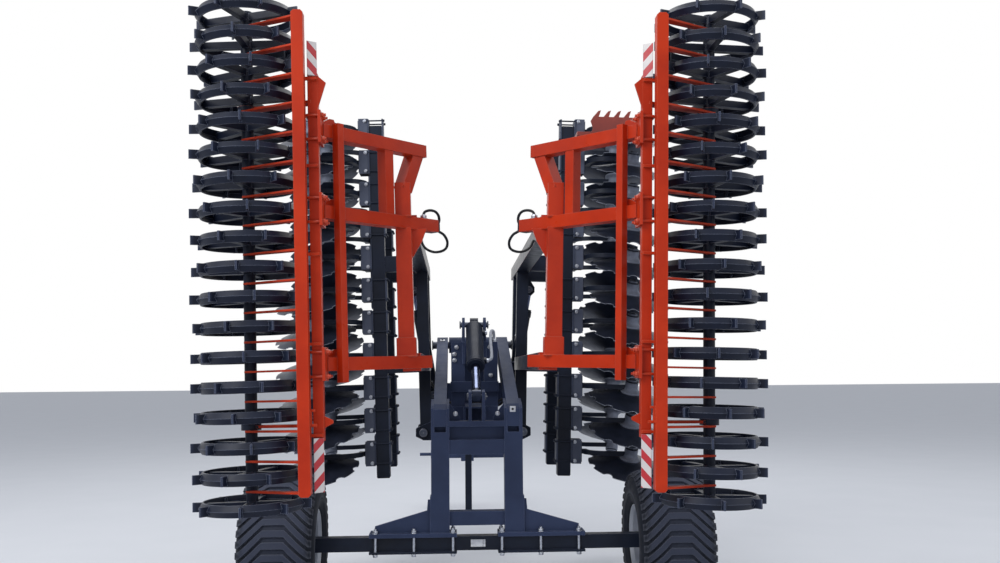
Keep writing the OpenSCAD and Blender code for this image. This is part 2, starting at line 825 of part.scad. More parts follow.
module scraper_beam(side) {
    w = scraper_beam_w;
    cw = clamp_beam_w;
    beam_z0 = ring_z0 + ring_pitch / 2 - 20;
    beam_z1 = ring_z0 + (ring_n - 1.5) * ring_pitch + 30;
    cut = 12;
    half = w / 2;
    clamp_top = clamp_z0 + clamp_len;
    to_roller = [roller_x - clamp_beam_x, roller_y - clamp_beam_y];
    tip = [roller_x + 12, roller_y - roller_tube_d / 2 - 30];
    root = [scraper_beam_x + w / 2 - 8, scraper_beam_y + 6];
    run = norm(tip - root);
    turn = atan2(tip[1] - root[1], tip[0] - root[0]);
    color(orange)
    on_wing(side)
    union() {
        // Scraper beam with cut corners at its ends
        back_plate(scraper_beam_y, w, [
            [scraper_beam_x - half, beam_z0 + cut], [scraper_beam_x - half + cut, beam_z0],
            [scraper_beam_x + half - cut, beam_z0], [scraper_beam_x + half, beam_z0 + cut],
            [scraper_beam_x + half, beam_z1 - cut], [scraper_beam_x + half - cut, beam_z1],
            [scraper_beam_x - half + cut, beam_z1], [scraper_beam_x - half, beam_z1 - cut],
        ]);
        post(clamp_beam_x, clamp_beam_y, clamp_z0, cw, cw, clamp_len);
        // Plates that join the two beams
        for (f = [0, 0.25, 0.5, 0.75, 1])
            translate([clamp_beam_x - cw / 2 + 4, scraper_beam_y + half - 3, clamp_z0 + 22 + f * (clamp_len - 59)])
            cube([scraper_beam_x - clamp_beam_x + half + cw / 2 - 8,
                clamp_beam_y - cw / 2 - scraper_beam_y - half + 6, 15]);
        // Scrapers, one in each gap between rings
        for (i = [0:ring_n - 2])
            translate([root[0], root[1], ring_z0 + (i + 0.5) * ring_pitch - 5])
            rotate([0, 0, turn])
            linear_extrude(10)
            polygon([[-6, -30], [run, -13], [run, 13], [run - 40, 20], [-6, 26]]);
        // Roller carriers with their bearing rings
        for (i = [2.5, ring_n - 4.5])
            translate([0, 0, ring_z0 + i * ring_pitch + 14])
            difference() {
                union() {
                    translate([clamp_beam_x, clamp_beam_y, 0])
                    rotate([0, 0, atan2(to_roller[1], to_roller[0])])
                    translate([0, -30, 0])
                    cube([norm(to_roller) - 45, 60, 14]);
                    translate([roller_x, roller_y, -10])
                    cylinder(h = 34, d = roller_tube_d + 40);
                }
                translate([roller_x, roller_y, -20])
                cylinder(h = 60, d = roller_tube_d + 2 * turn_gap);
            }
        // Five-sided ear at the clamp beam's top and pointed ear near its foot
        back_plate(clamp_beam_y - cw / 2 + 6.5, 12, [
            [clamp_beam_x - cw / 2 + 1, clamp_top - 185], [clamp_beam_x - cw / 2 - 42, clamp_top - 50],
            [clamp_beam_x - cw / 2 + 1, clamp_top - 12], [clamp_beam_x + cw / 2, clamp_top - 12],
            [clamp_beam_x + cw / 2, clamp_top - 185],
        ]);
        back_plate(clamp_beam_y - cw / 2 + 16, 10, [
            [clamp_beam_x - cw / 2 + 1, clamp_z0 + 62], [clamp_beam_x - cw / 2 - 46, clamp_z0 + 86],
            [clamp_beam_x - cw / 2 - 46, clamp_z0 + 100], [clamp_beam_x - cw / 2 + 1, clamp_z0 + 124],
        ]);
        // Hook on the scraper beam's inner face
        translate([scraper_beam_x - half - 8, scraper_beam_y - 10, clamp_z0 + 76])
        cube([9, 20, 84]);
        for (e = [[32, 0], [24, 72]])
            translate([scraper_beam_x - half - e[0], scraper_beam_y - 10, clamp_z0 + 76 + e[1]])
            cube([e[0] + 1, 20, 12]);
    }
}

module scraper_beam_left() { scraper_beam(-1); }
module scraper_beam_right() { scraper_beam(1); }

module marker_boards(side) {
    lap = 16;
    tops = [clamp_z0 + lap, clamp_z0 + clamp_len + 161];
    lens = [266, 177];
    color("#d9d4cc")
    on_wing(side)
    translate([clamp_beam_x - clamp_beam_w / 2 + 1, clamp_beam_y - clamp_beam_w / 2 - 0.15, 0]) {
        // Boards turned inward
        for (i = [0, 1])
            translate([0, 0, tops[i] - lens[i]])
            linear_extrude(lens[i])
            polygon([[0, -4.5], [46, -36.7], [46, -33], [0, -0.8]]);
        // Wedges that seat them on the clamp beam's ends
        for (z = [clamp_z0, clamp_z0 + clamp_len - lap])
            translate([0, 0, z])
            linear_extrude(lap)
            polygon([[0, 0], [44, 0], [44, -32.5], [0, -1.5]]);
    }
}

module marker_boards_left() { marker_boards(-1); }
module marker_boards_right() { marker_boards(1); }

// Rollers

module roller_ring(turn) {
    half = ring_w / 2;
    rise = 19;
    rotate_extrude($fn = 72)
    polygon([
        [ring_r - rise, -half], [ring_r, 0], [ring_r - rise, half],
        [ring_r - rise - ring_t, half], [ring_r - ring_t, 0], [ring_r - rise - ring_t, -half],
    ]);
    rotate([0, 0, turn]) {
        for (i = [0:lug_n - 1])
            rotate([0, 0, i * 360 / lug_n])
            translate([ring_r - ring_t - rise, -5, -24])
            cube([lug_h + ring_t + rise, 10, 48]);
        for (i = [0:3])
            rotate([0, 0, i * 90])
            translate([roller_tube_d / 2 - 6, -spoke_w / 2, -spoke_w / 2])
            cube([ring_r - ring_t - roller_tube_d / 2 - 2, spoke_w, spoke_w]);
    }
}

module roller(side) {
    len = (ring_n - 1) * ring_pitch;
    color(black)
    on_wing(side)
    translate([roller_x, roller_y, ring_z0]) {
        translate([0, 0, -ring_w / 2])
        cylinder(h = len + ring_w, d = roller_tube_d);
        for (i = [0:ring_n - 1])
            translate([0, 0, i * ring_pitch])
            roller_ring((i * 17) % 45);
    }
}

module roller_left() { roller(-1); }
module roller_right() { roller(1); }

// Fold cylinders

module at_fold_cylinder(side) {
    to_side(side)
    translate([fold_foot[0], fold_cyl_y, fold_foot[1]])
    rotate([0, fold_tilt, 0])
    children();
}

module fold_barrel(side) {
    color(black)
    at_fold_cylinder(side)
    difference() {
        union() {
            rotate([90, 0, 0])
            translate([0, 0, -fold_eye_w / 2])
            cylinder(h = fold_eye_w, d = 90);
            translate([0, 0, 20])
            cylinder(h = 60, d = fold_eye_w - 4);
            translate([0, 0, 64])
            cylinder(h = 611, d = 96);
            translate([0, 0, 640])
            cylinder(h = 45, d = 106);
        }
        translate([0, 0, 90])
        cylinder(h = 620, d = 50 + 2 * turn_gap);
        rotate([90, 0, 0])
        translate([0, 0, -50])
        cylinder(h = 100, d = 40 + 2 * turn_gap);
    }
}

module fold_rod(side) {
    color(chrome)
    at_fold_cylinder(side)
    difference() {
        union() {
            translate([0, 0, 150])
            cylinder(h = fold_len - 150 - 30, d = 50);
            translate([0, 30, fold_len])
            rotate([90, 0, 0])
            cylinder(h = 60, d = 80);
        }
        translate([0, 50, fold_len])
        rotate([90, 0, 0])
        cylinder(h = 100, d = 40);
    }
}

module fold_barrel_left() { fold_barrel(-1); }
module fold_barrel_right() { fold_barrel(1); }
module fold_rod_left() { fold_rod(-1); }
module fold_rod_right() { fold_rod(1); }

module tyre_left() { tyre(-1); }
module tyre_right() { tyre(1); }
module rim_left() { rim(-1); }
module rim_right() { rim(1); }

// Toothed plate behind the last rear disc at the tip of the right wing
module clod_rake() {
    y = rear_beam_y - 610;
    z0 = disc_beam_z0 + disc_beam_len - 204;
    x0 = disc_beam_x + 117;
    color(orange)
    on_wing(1) {
        translate([disc_beam_x + 5, y - 5, z0])
        cube([40, rear_beam_y - disc_beam_w / 2 - y + 5, 30]);
        translate([disc_beam_x + 40, y - 5, z0])
        cube([x0 - disc_beam_x - 20, 10, 30]);
        back_plate(y, 10, [
            [x0 - 16, z0], [x0 + 359, z0], [x0 + 359, z0 + 145], [x0 + 5, z0 + 145],
            [x0 - 14, z0 + 112], [x0 + 4, z0 + 60],
        ]);
        for (i = [0:4])
            back_plate(y, 10, [
                [x0 + 6 + i * 74, z0 + 144], [x0 + 46 + i * 74, z0 + 144],
                [x0 + 62 + i * 74, z0 + 194], [x0 + 40 + i * 74, z0 + 186],
            ]);
    }
}

centre_frame();
hinge_pins();
drawbar();
leg_sleeve();
parking_leg();
hitch_bar();
valve_plate();
lift_barrel();
lift_rod();
running_frame();
axle();
tyre_left();
rim_left();
tyre_right();
rim_right();
wing_frame_left();
wing_frame_right();
disc_frame_left();
disc_frame_right();
arm_clamps_left();
arm_clamps_right();
front_arms_left();
front_arms_right();
rear_arms_left();
rear_arms_right();
front_discs_left();
front_discs_right();
rear_discs_left();
rear_discs_right();
scraper_beam_left();
scraper_beam_right();
marker_boards_left();
marker_boards_right();
roller_left();
roller_right();
fold_barrel_left();
fold_barrel_right();
fold_rod_left();
fold_rod_right();
clod_rake();
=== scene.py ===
"""Looks of a trailed folding disc harrow that is parked with its wings folded up.

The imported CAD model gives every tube, plate, disc and ring. This script adds what the
eye expects close by: tyres with their tread, studs, bow bolts, clamp bolts, hub caps,
hoses, retainers and plates, and the finish of every surface.
"""

from __future__ import annotations

import json
import logging
import math
from dataclasses import dataclass
from enum import Enum
from functools import partial
from typing import Callable, Sequence

import bmesh
import bpy
from mathutils import Matrix, Vector

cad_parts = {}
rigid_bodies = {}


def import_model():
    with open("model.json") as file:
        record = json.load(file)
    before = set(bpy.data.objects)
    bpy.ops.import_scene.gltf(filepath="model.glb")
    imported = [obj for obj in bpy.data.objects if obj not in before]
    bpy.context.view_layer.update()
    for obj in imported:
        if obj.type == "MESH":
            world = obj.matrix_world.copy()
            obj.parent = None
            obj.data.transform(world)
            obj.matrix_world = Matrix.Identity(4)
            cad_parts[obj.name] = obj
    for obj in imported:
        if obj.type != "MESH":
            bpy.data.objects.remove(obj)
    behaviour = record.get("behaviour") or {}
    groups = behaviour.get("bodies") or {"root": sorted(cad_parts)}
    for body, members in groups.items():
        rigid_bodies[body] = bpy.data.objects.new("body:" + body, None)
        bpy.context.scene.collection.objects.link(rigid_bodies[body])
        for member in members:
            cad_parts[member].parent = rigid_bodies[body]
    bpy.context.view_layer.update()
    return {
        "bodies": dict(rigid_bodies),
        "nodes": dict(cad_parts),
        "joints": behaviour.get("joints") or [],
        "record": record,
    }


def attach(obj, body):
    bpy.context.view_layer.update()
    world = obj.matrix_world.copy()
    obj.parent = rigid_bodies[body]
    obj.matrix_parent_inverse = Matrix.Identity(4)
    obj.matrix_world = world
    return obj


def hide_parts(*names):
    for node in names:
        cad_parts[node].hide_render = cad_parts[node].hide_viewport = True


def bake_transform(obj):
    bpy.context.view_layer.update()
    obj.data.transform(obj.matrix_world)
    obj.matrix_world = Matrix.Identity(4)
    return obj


LOG = logging.getLogger("disc_harrow")
MM = 0.001
HERE = Matrix.Identity(4)
ROW_SHIFT = -1.7825  # from the axle to the middle of the machine, in metres
PIVOT = Vector((0.390, 0, 1.110))  # fold pin, seen along the machine
LEAN = math.radians(1.5)  # how far a folded wing leans out
ARM_ROWS = (1641, 2424, 2850)  # heights of the roller arms, in millimetres
WHEEL = (1260, 0, 466)  # middle of a wheel, in millimetres
PAIR = (-1, 1)
FLAT = 0.9  # a normal's least share along an axis on a face that looks that way
MERGE = 0.00002  # metres within which a spun outline's ends close

Test = Callable[[Vector], bool]
Triple = Sequence[float]
Socket = bpy.types.NodeSocket
Adder = Callable[..., Socket]


class Side(Enum):
    """The two sides of the machine, seen in the direction of travel."""

    LEFT = -1
    RIGHT = 1

    @property
    def tag(self) -> str:
        """Ending of the names of this side's nodes and pieces."""
        return self.name.lower()

    @property
    def body(self) -> str:
        """Name of this side's wing."""
        return f"wing_{self.tag}"

    @property
    def machine(self) -> Matrix:
        """Frame with its origin on the ground under the axle, mirrored for the left."""
        mirror = Matrix.Diagonal((self.value, 1, 1, 1))
        return mirror @ Matrix.Translation((0, ROW_SHIFT, 0))

    @property
    def wing(self) -> Matrix:
        """Frame of the folded wing, which leans out about its fold pin."""
        lean = Matrix.Rotation(LEAN, 4, "Y")
        return self.machine @ Matrix.Translation(PIVOT) @ lean @ Matrix.Translation(-PIVOT)


MACHINE = Side.RIGHT.machine


def shift(x: float, y: float, z: float) -> Matrix:
    """Shift by so many millimetres."""
    return Matrix.Translation(Vector((x, y, z)) * MM)


def turned(degrees: float, axis: str) -> Matrix:
    """Turn about an axis."""
    return Matrix.Rotation(math.radians(degrees), 4, axis)


def stand(frame: Matrix, at: Triple, along: Triple = (0, 0, 1)) -> Matrix:
    """Place that stands a template's Z axis along a direction.

    Args:
        frame: Frame in which the place is given.
        at: Point in millimetres.
        along: Direction that the template's Z axis takes.

    Returns:
        The place as a matrix.
    """
    facing = Vector(along).normalized().to_track_quat("Z", "Y").to_matrix().to_4x4()
    return frame @ shift(*at) @ facing


def ring(radius: float, count: int, height: float) -> list[Triple]:
    """Points at equal steps round the Z axis."""
    angles = [math.tau * i / count for i in range(count)]
    return [(radius * math.cos(a), radius * math.sin(a), height) for a in angles]


def flowing(points: Sequence[Triple], steps: int = 8) -> list[Vector]:
    """Runs a smooth line through points.

    Args:
        points: Points that the line passes.
        steps: Pieces between two neighbouring points.

    Returns:
        The line's points.
    """
    line = [Vector(p) for p in points]
    ends = [line[0] * 2 - line[1]] + line + [line[-1] * 2 - line[-2]]
    out = []
    for a, b, c, d in zip(ends, ends[1:], ends[2:], ends[3:]):
        for k in range(steps):
            t = k / steps
            bent = b * 2 + (c - a) * t + (a * 2 - b * 5 + c * 4 - d) * t * t
            out.append((bent + (b * 3 - c * 3 + d - a) * t * t * t) * 0.5)
    return out + [line[-1]]


# --- Finishes ---


def linear(code: str) -> tuple[float, float, float, float]:
    """Turns an sRGB hex colour to linear values.

    Args:
        code: Colour such as "#d8472b".

    Returns:
        Red, green, blue and alpha.
    """
    parts = [int(code[i : i + 2], 16) / 255 for i in (1, 3, 5)]
    bent = [p / 12.92 if p <= 0.04045 else ((p + 0.055) / 1.055) ** 2.4 for p in parts]
    return (*bent, 1)


def add_node(
    tree: bpy.types.NodeTree, kind: str, feeds: dict | None = None, out: int | str = 0,
    **settings: object,
) -> Socket | None:
    """Adds a node with its settings and feeds its inputs.

    Args:
        tree: Node tree that gets the node.
        kind: Blender's name of the node type, after "ShaderNode".
        feeds: A constant or an output socket by the name or number of its input.
        out: Name or number of the output that is handed back.
        settings: Properties of the node.

    Returns:
        The output's socket, or nothing if the node has none.
    """
    node = tree.nodes.new(f"ShaderNode{kind}")
    for name, value in settings.items():
        setattr(node, name, value)
    for socket, value in (feeds or {}).items():
        if isinstance(value, Socket):
            tree.links.new(value, node.inputs[socket])
        else:
            node.inputs[socket].default_value = value
    return node.outputs[out] if node.outputs else None


def fresh_tree(owner: bpy.types.Material | bpy.types.World) -> Adder:
    """Turns the owner's nodes on and empties its tree.

    Args:
        owner: Material or world.

    Returns:
        What adds a node to the tree.
    """
    owner.use_nodes = True
    owner.node_tree.nodes.clear()
    return partial(add_node, owner.node_tree)


@dataclass(frozen=True)
class Finish:
    """A surface finish with patches, grain, a painted highlight on its edges and settled dust.

    Lengths are in millimetres.
    """

    name: str
    colour: str
    tone: str
    patch: float = 280
    grain: float = 6
    relief: float = 0.12
    rough: tuple[float, float] = (0.34, 0.52)
    metal: float = 0
    shine: float = 0.5
    # Colour of the painted highlight along edges and inner corners.
    edge: str = "#ffffff"
    edge_width: float = 5
    edge_amount: float = 0.3
    dust: str = "#9a958c"
    dust_amount: float = 0.22

    @classmethod
    def over(cls, base: Finish, **changes: object) -> Finish:
        """Takes the values of another finish, apart from some changes."""
        return cls(**{**vars(base), **changes})

    def colours(self, add: Adder, place: Socket) -> Socket:
        """Makes the colour before edges and dust.

        Args:
            add: Adds a node to the material.
            place: Object coordinates.

        Returns:
            The colour's socket.
        """
        patches = add("TexNoise", {
            "Vector": place, "Scale": 1 / (self.patch * MM), "Detail": 5, "Roughness": 0.6,
        })
        share = add("MapRange", {"Value": patches, "From Min": 0.36, "From Max": 0.66})
        tones = {0: share, 6: linear(self.colour), 7: linear(self.tone)}
        return add("Mix", tones, 2, data_type="RGBA")

    def material(self) -> bpy.types.Material:
        """Makes the material, or finds it if it is there.

        Returns:
            The material.
        """
        made = bpy.data.materials.get(self.name)
        if made is not None:
            return made
        made = bpy.data.materials.new(self.name)
        add = fresh_tree(made)
        place = add("TexCoord", out="Object")
        colour = self.colours(add, place)
        grain = add("TexNoise", {
            "Vector": place, "Scale": 1 / (self.grain * MM), "Detail": 3, "Roughness": 0.55,
        })
        rounded = add("Bevel", {"Radius": self.edge_width * MM}, samples=4)
        flat = add("NewGeometry", out="True Normal")
        turn = add("VectorMath", {0: rounded, 1: flat}, "Value", operation="DOT_PRODUCT")
        # Painted highlight: a paler colour is mixed in where the rounded normal leaves the flat
        # one, along edges and inner corners.
        edge = add("MapRange", {
            "Value": turn, "From Min": 0.995, "From Max": 0.86, "To Max": self.edge_amount,
        })
        lit = add("Mix", {0: edge, 6: colour, 7: linear(self.edge)}, 2, data_type="RGBA")
        upward = add("SeparateXYZ", {0: flat.node.outputs["Normal"]}, "Z")
        film = add("TexNoise", {"Vector": place, "Scale": 14, "Detail": 6, "Roughness": 0.7})
        settled = add("Math", {0: upward, 1: film}, operation="MULTIPLY")
        dust = add("MapRange", {
            "Value": settled, "From Min": 0.12, "From Max": 0.7, "To Max": self.dust_amount,
        })
        dusty = add("Mix", {0: dust, 6: lit, 7: linear(self.dust)}, 2, data_type="RGBA")
        low, high = self.rough
        rough = add("MapRange", {
            "Value": film, "From Min": 0.3, "From Max": 0.7, "To Min": low, "To Max": high,
        })
        bump = add("Bump", {
            "Height": grain, "Normal": rounded, "Strength": 0.6, "Distance": self.relief * MM,
        })
        shader = add("BsdfPrincipled", {
            "Base Color": dusty, "Roughness": rough, "Normal": bump, "Metallic": self.metal,
            "Specular IOR Level": self.shine,
        })
        add("OutputMaterial", {"Surface": shader})
        return made


@dataclass(frozen=True)
class RadialFinish(Finish):
    """A finish whose colour changes with the distance from an axis.

    The border wanders by the rub, in metres.
    """

    centre: Triple = (0, 0, 0)
    tilt: float = 0
    plane: Triple = (0, 1, 1)
    outer: str = "#6a6e75"
    beyond: Finish | None = None
    start: float = 450
    end: float = 460
    share: float = 1
    rub: float = 0.012

    def colours(self, add: Adder, place: Socket) -> Socket:
        """Mixes in the outer colour past the start distance from the axis.

        Args:
            add: Adds a node to the material.
            place: Object coordinates.

        Returns:
            The colour's socket.
        """
        inner = super().colours(add, place)
        axis = {"Vector": place, "Location": self.centre, "Rotation": (0, self.tilt, 0)}
        centred = add("Mapping", axis, vector_type="TEXTURE")
        flat = add("VectorMath", {0: centred, 1: self.plane}, operation="MULTIPLY")
        reach = add("VectorMath", {0: flat}, "Value", operation="LENGTH")
        noise = add("TexNoise", {"Vector": place, "Scale": 60, "Detail": 4})
        jitter = add("Math", {0: noise, 1: self.rub}, operation="MULTIPLY")
        moved = add("Math", {0: reach, 1: jitter}, operation="ADD")
        share = add("MapRange", {
            "Value": moved, "From Min": self.start * MM + self.rub / 2,
            "From Max": self.end * MM + self.rub / 2, "To Max": self.share,
        })
        other = self.beyond.colours(add, place) if self.beyond else linear(self.outer)
        return add("Mix", {0: share, 6: inner, 7: other}, 2, data_type="RGBA")


@dataclass(frozen=True)
class BandFinish(Finish):
    """A finish that gives way to another in two bands of heights, ahead of a plane.

    Lengths are in metres in the row frame.
    """

    heights: tuple[float, float] = (1.645, 2.428)
    half: float = 0.066
    ahead: float = -2.735
    inside: Finish | None = None

    def colours(self, add: Adder, place: Socket) -> Socket:
        """Mixes in the other finish at those heights, ahead of the plane.

        Args:
            add: Adds a node to the material.
            place: Object coordinates.

        Returns:
            The colour's socket.
        """
        plain = super().colours(add, place)
        up = add("SeparateXYZ", {0: place}, "Z")
        low, high = [
            add("Math", {0: up, 1: height, 2: self.half}, operation="COMPARE")
            for height in self.heights
        ]
        level = add("Math", {0: low, 1: high}, operation="MAXIMUM")
        front = add("Math", {0: up.node.outputs["Y"], 1: self.ahead}, operation="GREATER_THAN")
        both = add("Math", {0: level, 1: front}, operation="MULTIPLY")
        # On the wings, the black in the upper band, on the upper tube, is painted shade.
        layers = {0: both, 6: plain, 7: self.inside.colours(add, place)}
        return add("Mix", layers, 2, data_type="RGBA")


@dataclass(frozen=True)
class BoardFilm(Finish):
    """Striped marker film on the boards' rear faces, white on red.

    The bands are about 46 mm wide, as six of them share 280 mm. They slope down to the
    outside on the lower boards and up on the upper ones, which begin higher above the
    fold pin than the split, in metres.
    """

    side: Side = Side.RIGHT
    red: str = "#b3202c"
    band: float = 93
    slope: float = 1.15
    split: float = 1.1

    def colours(self, add: Adder, place: Socket) -> Socket:
        """Draws the bands on faces that look back, and leaves the others plain.

        Args:
            add: Adds a node to the material.
            place: Object coordinates.

        Returns:
            The colour's socket.
        """
        plain = super().colours(add, place)
        way = self.side.value
        axis = {
            "Vector": place, "Location": (way * PIVOT.x, 0, PIVOT.z),
            "Rotation": (0, way * LEAN, 0),
        }
        level = add("Mapping", axis, vector_type="TEXTURE")
        out = add("SeparateXYZ", {0: level}, "X")
        up = out.node.outputs["Z"]
        upper = add("Math", {0: up, 1: self.split}, operation="GREATER_THAN")
        slope = add(
            "MapRange", {"Value": upper, "To Min": self.slope * way, "To Max": -self.slope * way},
        )
        across = add("Math", {0: out, 1: slope, 2: up}, operation="MULTIPLY_ADD")
        count = add("Math", {0: across, 1: 1 / (self.band * MM)}, operation="MULTIPLY")
        part = add("Math", {0: count}, operation="FRACT")
        band = add("Math", {0: part, 1: 0.5}, operation="GREATER_THAN")
        flat = add("NewGeometry", out="True Normal")
        facing = add("SeparateXYZ", {0: flat}, "Y")
        back = add("Math", {0: facing, 1: -0.5}, operation="LESS_THAN")
        shown = add("Math", {0: band, 1: back}, operation="MULTIPLY")
        return add("Mix", {0: shown, 6: plain, 7: linear(self.red)}, 2, data_type="RGBA")


# Two-coat polyester powder paint on welded tube: satin gloss, with a paler painted highlight where
# it wraps an edge.
ORANGE = Finish(
    "orange_powder_paint", "#be3310", "#aa290c", rough=(0.26, 0.42), shine=0.4, edge="#f07a58",
    edge_amount=0.45, dust="#a08072", dust_amount=0.1,
)
# Slate-blue graphite paint on the middle frame: cooler and a little duller.
GRAPHITE = Finish(
    "graphite_chassis_paint", "#37425f", "#303a54", rough=(0.48, 0.64), shine=0.16, edge="#7c88ae",
    edge_amount=0.5, dust="#6f7689", dust_amount=0.08,
)
# Black dipped paint on axle, disc arms and beams: thin, with field dust on it.
BLACK = Finish(
    "black_dip_paint", "#192132", "#121825", rough=(0.34, 0.55), shine=0.2, edge="#515a72",
    edge_amount=0.4, dust="#5f626c", dust_amount=0.1,
)
# Slate paint on the disc arms' clamp housings, paler than the beam behind them.
CLAMP_GREY = Finish(
    "clamp_housing_paint", "#3e465a", "#31384a", rough=(0.4, 0.6), shine=0.3, edge="#7d869e",
    edge_amount=0.4, dust="#767c8c", dust_amount=0.12,
)
# The same on the plates that close the housings' sides, paler as the sky lights them.
CHEEK_GREY = Finish.over(
    CLAMP_GREY, name="clamp_cheek_paint", colour="#565d70", tone="#474d5e", edge="#8d95ac",
    edge_width=3, edge_amount=0.45,
)
# Quenched boron steel of the discs: blue-grey scale, bright at its edges, partly where the soil has
# ground it bare and partly as painted highlight.
DISC_STEEL = Finish(
    "quenched_boron_steel", "#2b3246", "#1c2230", patch=120, grain=2.5, rough=(0.32, 0.52),
    metal=0.6, edge="#b9c0d0", edge_amount=0.85, dust="#5a5a60", dust_amount=0.12,
)
# Rough grey cast iron of the disc hubs.
HUB_CAST = Finish(
    "grey_cast_hub", "#7b8192", "#636978", patch=60, grain=2.2, relief=0.4, rough=(0.5, 0.7),
    metal=0.3, edge="#9aa0ae", edge_width=3, edge_amount=0.4,
)
# Zinc-plated steel of bolts, nuts and studs: pale and slightly blue.
ZINC = Finish(
    "zinc_plated_steel", "#b9bec9", "#9aa0ad", patch=18, grain=1.5, rough=(0.28, 0.45), metal=0.9,
    edge_width=1.5, edge_amount=0.5, dust_amount=0.12,
)
# Turned steel pins, greased: darker than zinc.
PIN_STEEL = Finish(
    "turned_pin_steel", "#5c6270", "#484d5a", patch=40, grain=2, rough=(0.25, 0.42), metal=0.9,
    edge_width=2, edge_amount=0.4,
)
# Hard-chromed piston rods: mirror-like, with a film of oil.
CHROME = Finish(
    "hard_chrome", "#7f89a8", "#6a7390", patch=60, grain=1, relief=0.01, rough=(0.1, 0.2), metal=1,
    edge_amount=0, dust_amount=0.05,
)
# The lift rod: chrome, with a cast eye left dark at its lower end.
LIFT_CHROME = RadialFinish.over(
    CHROME, name="chromed_rod_with_dark_eye", colour="#2b3142", tone="#1f2431",
    centre=(0, ROW_SHIFT - 0.06, 1.42), plane=(1, 1, 1), beyond=CHROME, start=66, end=68,
)
# The middle frame: graphite between its columns and black on the forks outside them.
FRAME_PAINT = RadialFinish.over(
    GRAPHITE, name="graphite_paint_with_black_forks", plane=(1, 0, 0), beyond=BLACK, start=274,
    end=278,
)
# Silver enamel of the wheel rims.
RIM_SILVER = Finish("silver_rim_enamel", "#c3c8d2", "#aeb4c0", rough=(0.3, 0.45), metal=0.3)
# Brushed aluminium of the blank plates.
PLATE_ALUMINIUM = Finish(
    "anodised_aluminium_plate", "#c9ccd3", "#b4b8c1", patch=30, grain=1.2, metal=0.8,
    edge_amount=0.2,
)
# Black EPDM of hose covers, caps and rubber cords.
HOSE_RUBBER = Finish(
    "hose_cover_rubber", "#23252b", "#1a1c20", patch=60, grain=1.5, relief=0.2, rough=(0.5, 0.7),
    shine=0.2, edge="#4c4f57", edge_width=2,
)
# Woven guard sleeve of the hose that moves over the column: pale grey polyester.
HOSE_SLEEVE = Finish(
    "hose_guard_sleeve", "#b4b9c4", "#9da3b0", patch=30, grain=1.2, relief=0.35, rough=(0.65, 0.85),
    edge_amount=0.1,
)
# Retroreflective film on aluminium: plain white where no band is.
FILMS = {
    side: BoardFilm(f"marker_film_{side.tag}", "#d8d4d2", "#c9c4c4", side=side, edge_amount=0.1)
    for side in Side
}
# Tyre compound: blue-black rubber, paler on its lugs, past about 440 mm from the axle, than between
# them and on its walls.
TYRE_RUBBER = {
    side: RadialFinish(
        f"tyre_compound_{side.tag}", "#20242e", "#181c25", patch=90, grain=3, relief=0.3,
        rough=(0.62, 0.85), shine=0.2, edge="#8b8f9b", edge_width=4, edge_amount=0.35,
        dust="#5f6475", dust_amount=0.2, centre=(side.value * 1.26, ROW_SHIFT, 0.466),
        outer="#343948", start=438, end=452,
    ) for side in Side
}
# Where a folded roller's shaft stands and how it leans.
SHAFTS = {
    side: {
        "centre": (side.value * 1.18073, -3.2625, 1.08929), "tilt": side.value * LEAN,
        "plane": (1, 1, 0),
    } for side in Side
}
# Packer rings: black-blue dipped paint, worn to grey steel at the lugs' tips.
RING_STEEL = {
    side: RadialFinish(
        f"packer_ring_paint_{side.tag}", "#151c2e", "#111726", patch=150, shine=0.2, edge="#949cb2",
        edge_width=4, edge_amount=0.6, dust="#5c6478", dust_amount=0.1, outer="#384159", start=280,
        end=300, share=0.5, **SHAFTS[side],
    ) for side in Side
}
# The scraper beams' paint: the bearing rings round the roller's shaft are black.
CARRIER_PAINT = {
    side: RadialFinish.over(
        BLACK, name=f"carrier_two_tone_paint_{side.tag}", edge=ORANGE.edge, beyond=ORANGE, start=66,
        end=68, **SHAFTS[side],
    ) for side in Side
}
# The wings' paint: the two tubes along the machine are black ahead of the roller arms; on the upper
# tube this black is painted shade.
WING_PAINT_AND_SHADE = BandFinish.over(
    ORANGE, name="wing_two_tone_paint", edge="#c9604a", dust="#7c7a78", shine=0.28, inside=BLACK,
)
# The clod rake's paint: the same orange, darkened to maroon as painted shade.
RAKE_PAINT_IN_SHADE = Finish.over(ORANGE, name="worn_rake_paint", colour="#8c3a31", tone="#6f2f2a")

# The finish of every CAD node, by its name without the side.
PLANS: dict[str, Finish | dict[Side, Finish]] = {
    "centre_frame": FRAME_PAINT, "hinge_pins": PIN_STEEL, "drawbar": GRAPHITE,
    "leg_sleeve": GRAPHITE, "parking_leg": BLACK, "hitch_bar": GRAPHITE, "valve_plate": BLACK,
    "lift_barrel": BLACK, "lift_rod": LIFT_CHROME, "running_frame": GRAPHITE, "axle": BLACK,
    "rim": RIM_SILVER, "tyre": TYRE_RUBBER, "wing_frame": WING_PAINT_AND_SHADE, "disc_frame": BLACK,
    "arm_clamps": CLAMP_GREY, "front_arms": BLACK, "rear_arms": BLACK, "front_discs": DISC_STEEL,
    "rear_discs": DISC_STEEL, "fold_barrel": BLACK, "fold_rod": CHROME, "clod_rake": RAKE_PAINT_IN_SHADE,
    "marker_boards": FILMS, "roller": RING_STEEL, "scraper_beam": CARRIER_PAINT,
}


def paint(nodes: dict[str, bpy.types.Object]) -> None:
    """Puts the finishes on the CAD nodes.

    Args:
        nodes: The frame's nodes by their names.
    """
    for name, node in nodes.items():
        plan = PLANS[name.removesuffix("_left").removesuffix("_right")]
        if isinstance(plan, dict):
            plan = plan[Side.LEFT if name.endswith("_left") else Side.RIGHT]
        material = plan.material()
        if not node.material_slots:
            node.data.materials.append(material)
        for slot in node.material_slots:
            slot.material = material
        LOG.info("node %s is dressed in %s", name, material.name)


